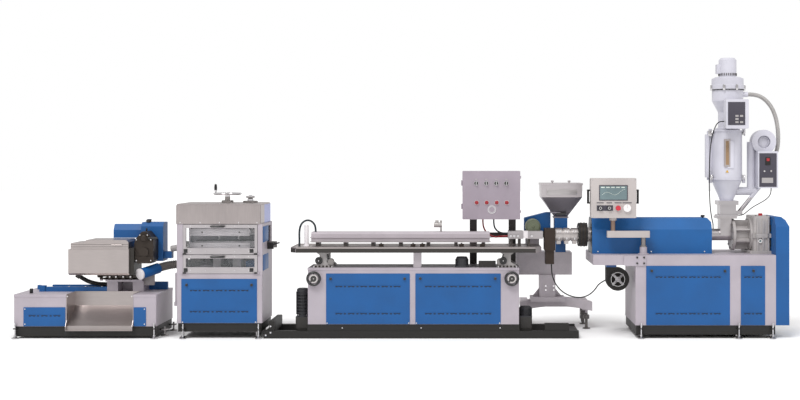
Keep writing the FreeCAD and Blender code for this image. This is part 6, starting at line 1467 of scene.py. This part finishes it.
@dataclass
class HopperDryer:
    """Hopper dryer with its vacuum loader, blower and control boxes."""

    x: float = 2.984
    y: float = 0.125

    def dress_nodes(self) -> None:
        """Finish the dryer's CAD nodes."""
        dress("dryer_hopper", zoned(
            WHITE_PAINT, "White dryer hopper on bright base",
            Zone((2.7, -0.2, 1.1), (3.2, 0.4, 1.2985), "B4B0B2", 0.3, 0.9)))
        dress("dryer_loader", WHITE_PAINT)
        dress("dryer_air", zoned(
            WHITE_PAINT, "White blower and heater with steel strut",
            Zone((3.05, 0.0, 1.1), (3.24, 0.3, 1.33), "B4B0B2", 0.3, 0.9)))

    def details(self) -> None:
        """Add clamps, sight glass, control panels, vents and bolts."""
        front = self.y - 0.150
        block("sight_glass_frame", "line", STAINLESS_UP, (2.930, front - 0.010, 1.630),
              (2.990, front + 0.02, 1.900), 0.003)
        block("sight_glass_granules", "line", GRANULES, (2.945, front - 0.0125, 1.650),
              (2.975, front - 0.009, 1.880))
        HEADS.heads("sight_glass_screws", "line", BRIGHT, Axis.Y,
                    [(2.96, front - 0.012, z) for z in (1.638, 1.892)], 0.005, 0.004)
        sign = Sketch().prism([(2.945, 1.575), (2.975, 1.575), (2.96, 1.60)], front - 0.003,
                              front + 0.001)
        sign.piece("dryer_yellow_sign", "line", YELLOW)
        clamps = Sketch()
        for angle, z in ((2.8, 1.965), (0.25, 1.965), (-0.35, 1.53), (3.4, 1.53)):
            x = self.x + 0.165 * math.cos(angle)
            y = self.y - 0.165 * abs(math.sin(angle)) - 0.01
            clamps.box((x - 0.013, y - 0.012, z - 0.026), (x + 0.013, y + 0.012, z + 0.022))
            clamps.rod((x, y - 0.014, z + 0.018), (x, y - 0.032, z - 0.034), 0.005)
        for angle in (3.0, 0.15, -1.2, 4.3):
            x = self.x + 0.010 + 0.163 * math.cos(angle)
            y = self.y - 0.163 * abs(math.sin(angle))
            clamps.box((x - 0.011, y - 0.011, 2.375), (x + 0.011, y + 0.011, 2.430))
        clamps.box((2.795, 0.06, 1.93), (2.83, 0.10, 1.985))
        clamps.piece("dryer_clamps", "line", BRIGHT, 0.002)
        seal = Sketch().ring((self.x + 0.010, self.y, 2.3795), Axis.Z, 0.1625, 0.150, 0.008)
        seal.piece("loader_seal", "line", RUBBER)
        spots = around((self.x + 0.010, self.y, 2.534), Axis.Z, 0.0880, 30)
        BLOCKS.place("loader_motor_vents", "line", DARK_STEEL, spots, (0.004, 0.006, 0.024))
        edge = Sketch().box((2.792, 0.112, 1.500), (2.842, 0.136, 1.980))
        for z in (1.55, 1.74, 1.93):
            edge.rod((2.800, 0.106, z - 0.02), (2.800, 0.106, z + 0.02), 0.007)
        edge.piece("dryer_door_edge", "line", WHITE_PAINT, 0.003)
        self.controllers()
        self.blower()

    def controllers(self) -> None:
        """Dark panels, keys and plates of the loader and dryer control boxes."""
        y = -0.1480
        block("loader_panel", "line", DARK_GREY_PANEL, (2.943, y - 0.003, 2.032),
              (3.108, y + 0.001, 2.254), 0.001)
        keys = [((3.028 + 0.044 * c, y - 0.0045, 2.060 + 0.030 * r), (0, 0, 0))
                for c, r in ((0, 0), (0, 1), (0, 2), (1, 0), (1, 2))]
        BLOCKS.place("loader_keys", "line", PLATE, keys, (0.030, 0.004, 0.018))
        x0, y0, z0 = 3.260, -0.025, 1.424
        wide, tall = 0.188, 0.350
        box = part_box("dryer_air")
        block("dryer_panel", "line", DARK_GREY_PANEL, (x0 + 0.012, y0 - 0.003, z0 + 0.012),
              (min(box[1][0], x0 + wide) - 0.008, y0 + 0.001, z0 + tall - 0.012), 0.001)
        block("dryer_plate", "line", PLATE, (x0 + 0.035, y0 - 0.005, z0 + 0.050),
              (x0 + 0.145, y0 - 0.002, z0 + 0.100))
        block("dryer_switch_frame", "line", BLACK_PAINT, (x0 + 0.070, y0 - 0.010, z0 + 0.225),
              (x0 + 0.118, y0 - 0.002, z0 + 0.300), 0.002)
        block("dryer_readout", "line", RED_CAP, (x0 + 0.080, y0 - 0.013, z0 + 0.262),
              (x0 + 0.108, y0 - 0.009, z0 + 0.290))
        for index, x in enumerate((x0 + 0.060, x0 + 0.125)):
            lamp = Sketch().turned([(0, 0), (0.011, 0), (0.009, 0.008), (0, 0.010)],
                                   (x, y0 - 0.003, z0 + 0.165), Axis.Y, -1.0, 18)
            lamp.piece("dryer_lamp_%d" % index, "line", (BRIGHT, PLATE)[index])

    def blower(self) -> None:
        """Inlet rings and bolts on the blower's face."""
        middle = (3.340, 0.0845, 1.874)
        y = self.y - 0.041
        ring = Sketch()
        ring.ring((middle[0], y, middle[2]), Axis.Y, 0.074, 0.060, 0.006, -1.0)
        ring.ring((middle[0], y + 0.010, middle[2]), Axis.Y, 0.050, 0.046, 0.010, -1.0)
        ring.piece("blower_inlet_ring", "line", WHITE_PAINT)
        HEADS.ring_of_heads("blower_bolts", STEEL, Axis.Y, (middle[0], y - 0.002, middle[2]),
                            (0.094, 8, 0.39), (0.006, 0.005))


def main() -> None:
    """Build the scene: view, light, cords, then each machine."""
    logging.basicConfig(level=logging.INFO, format="%(name)s: %(message)s")
    bpy.context.scene.view_settings.view_transform = "Standard"
    Camera().place()
    studio = Studio()
    studio.light()
    studio.floor()
    for cord in CORDS:
        cord.build()
        LOG.info("cord %s, %.3f m", cord.node, cord.length())
    FrontFeet().details()
    builders: list[Callable] = [Cutter, HaulOff, CalibrationTable, ControlBox, SideExtruder,
                                Extruder, HopperDryer]
    for builder in builders:
        machine = builder()
        machine.dress_nodes()
        machine.details()
        LOG.info("built %s", builder.__name__)


if __name__ == "__main__":
    main()
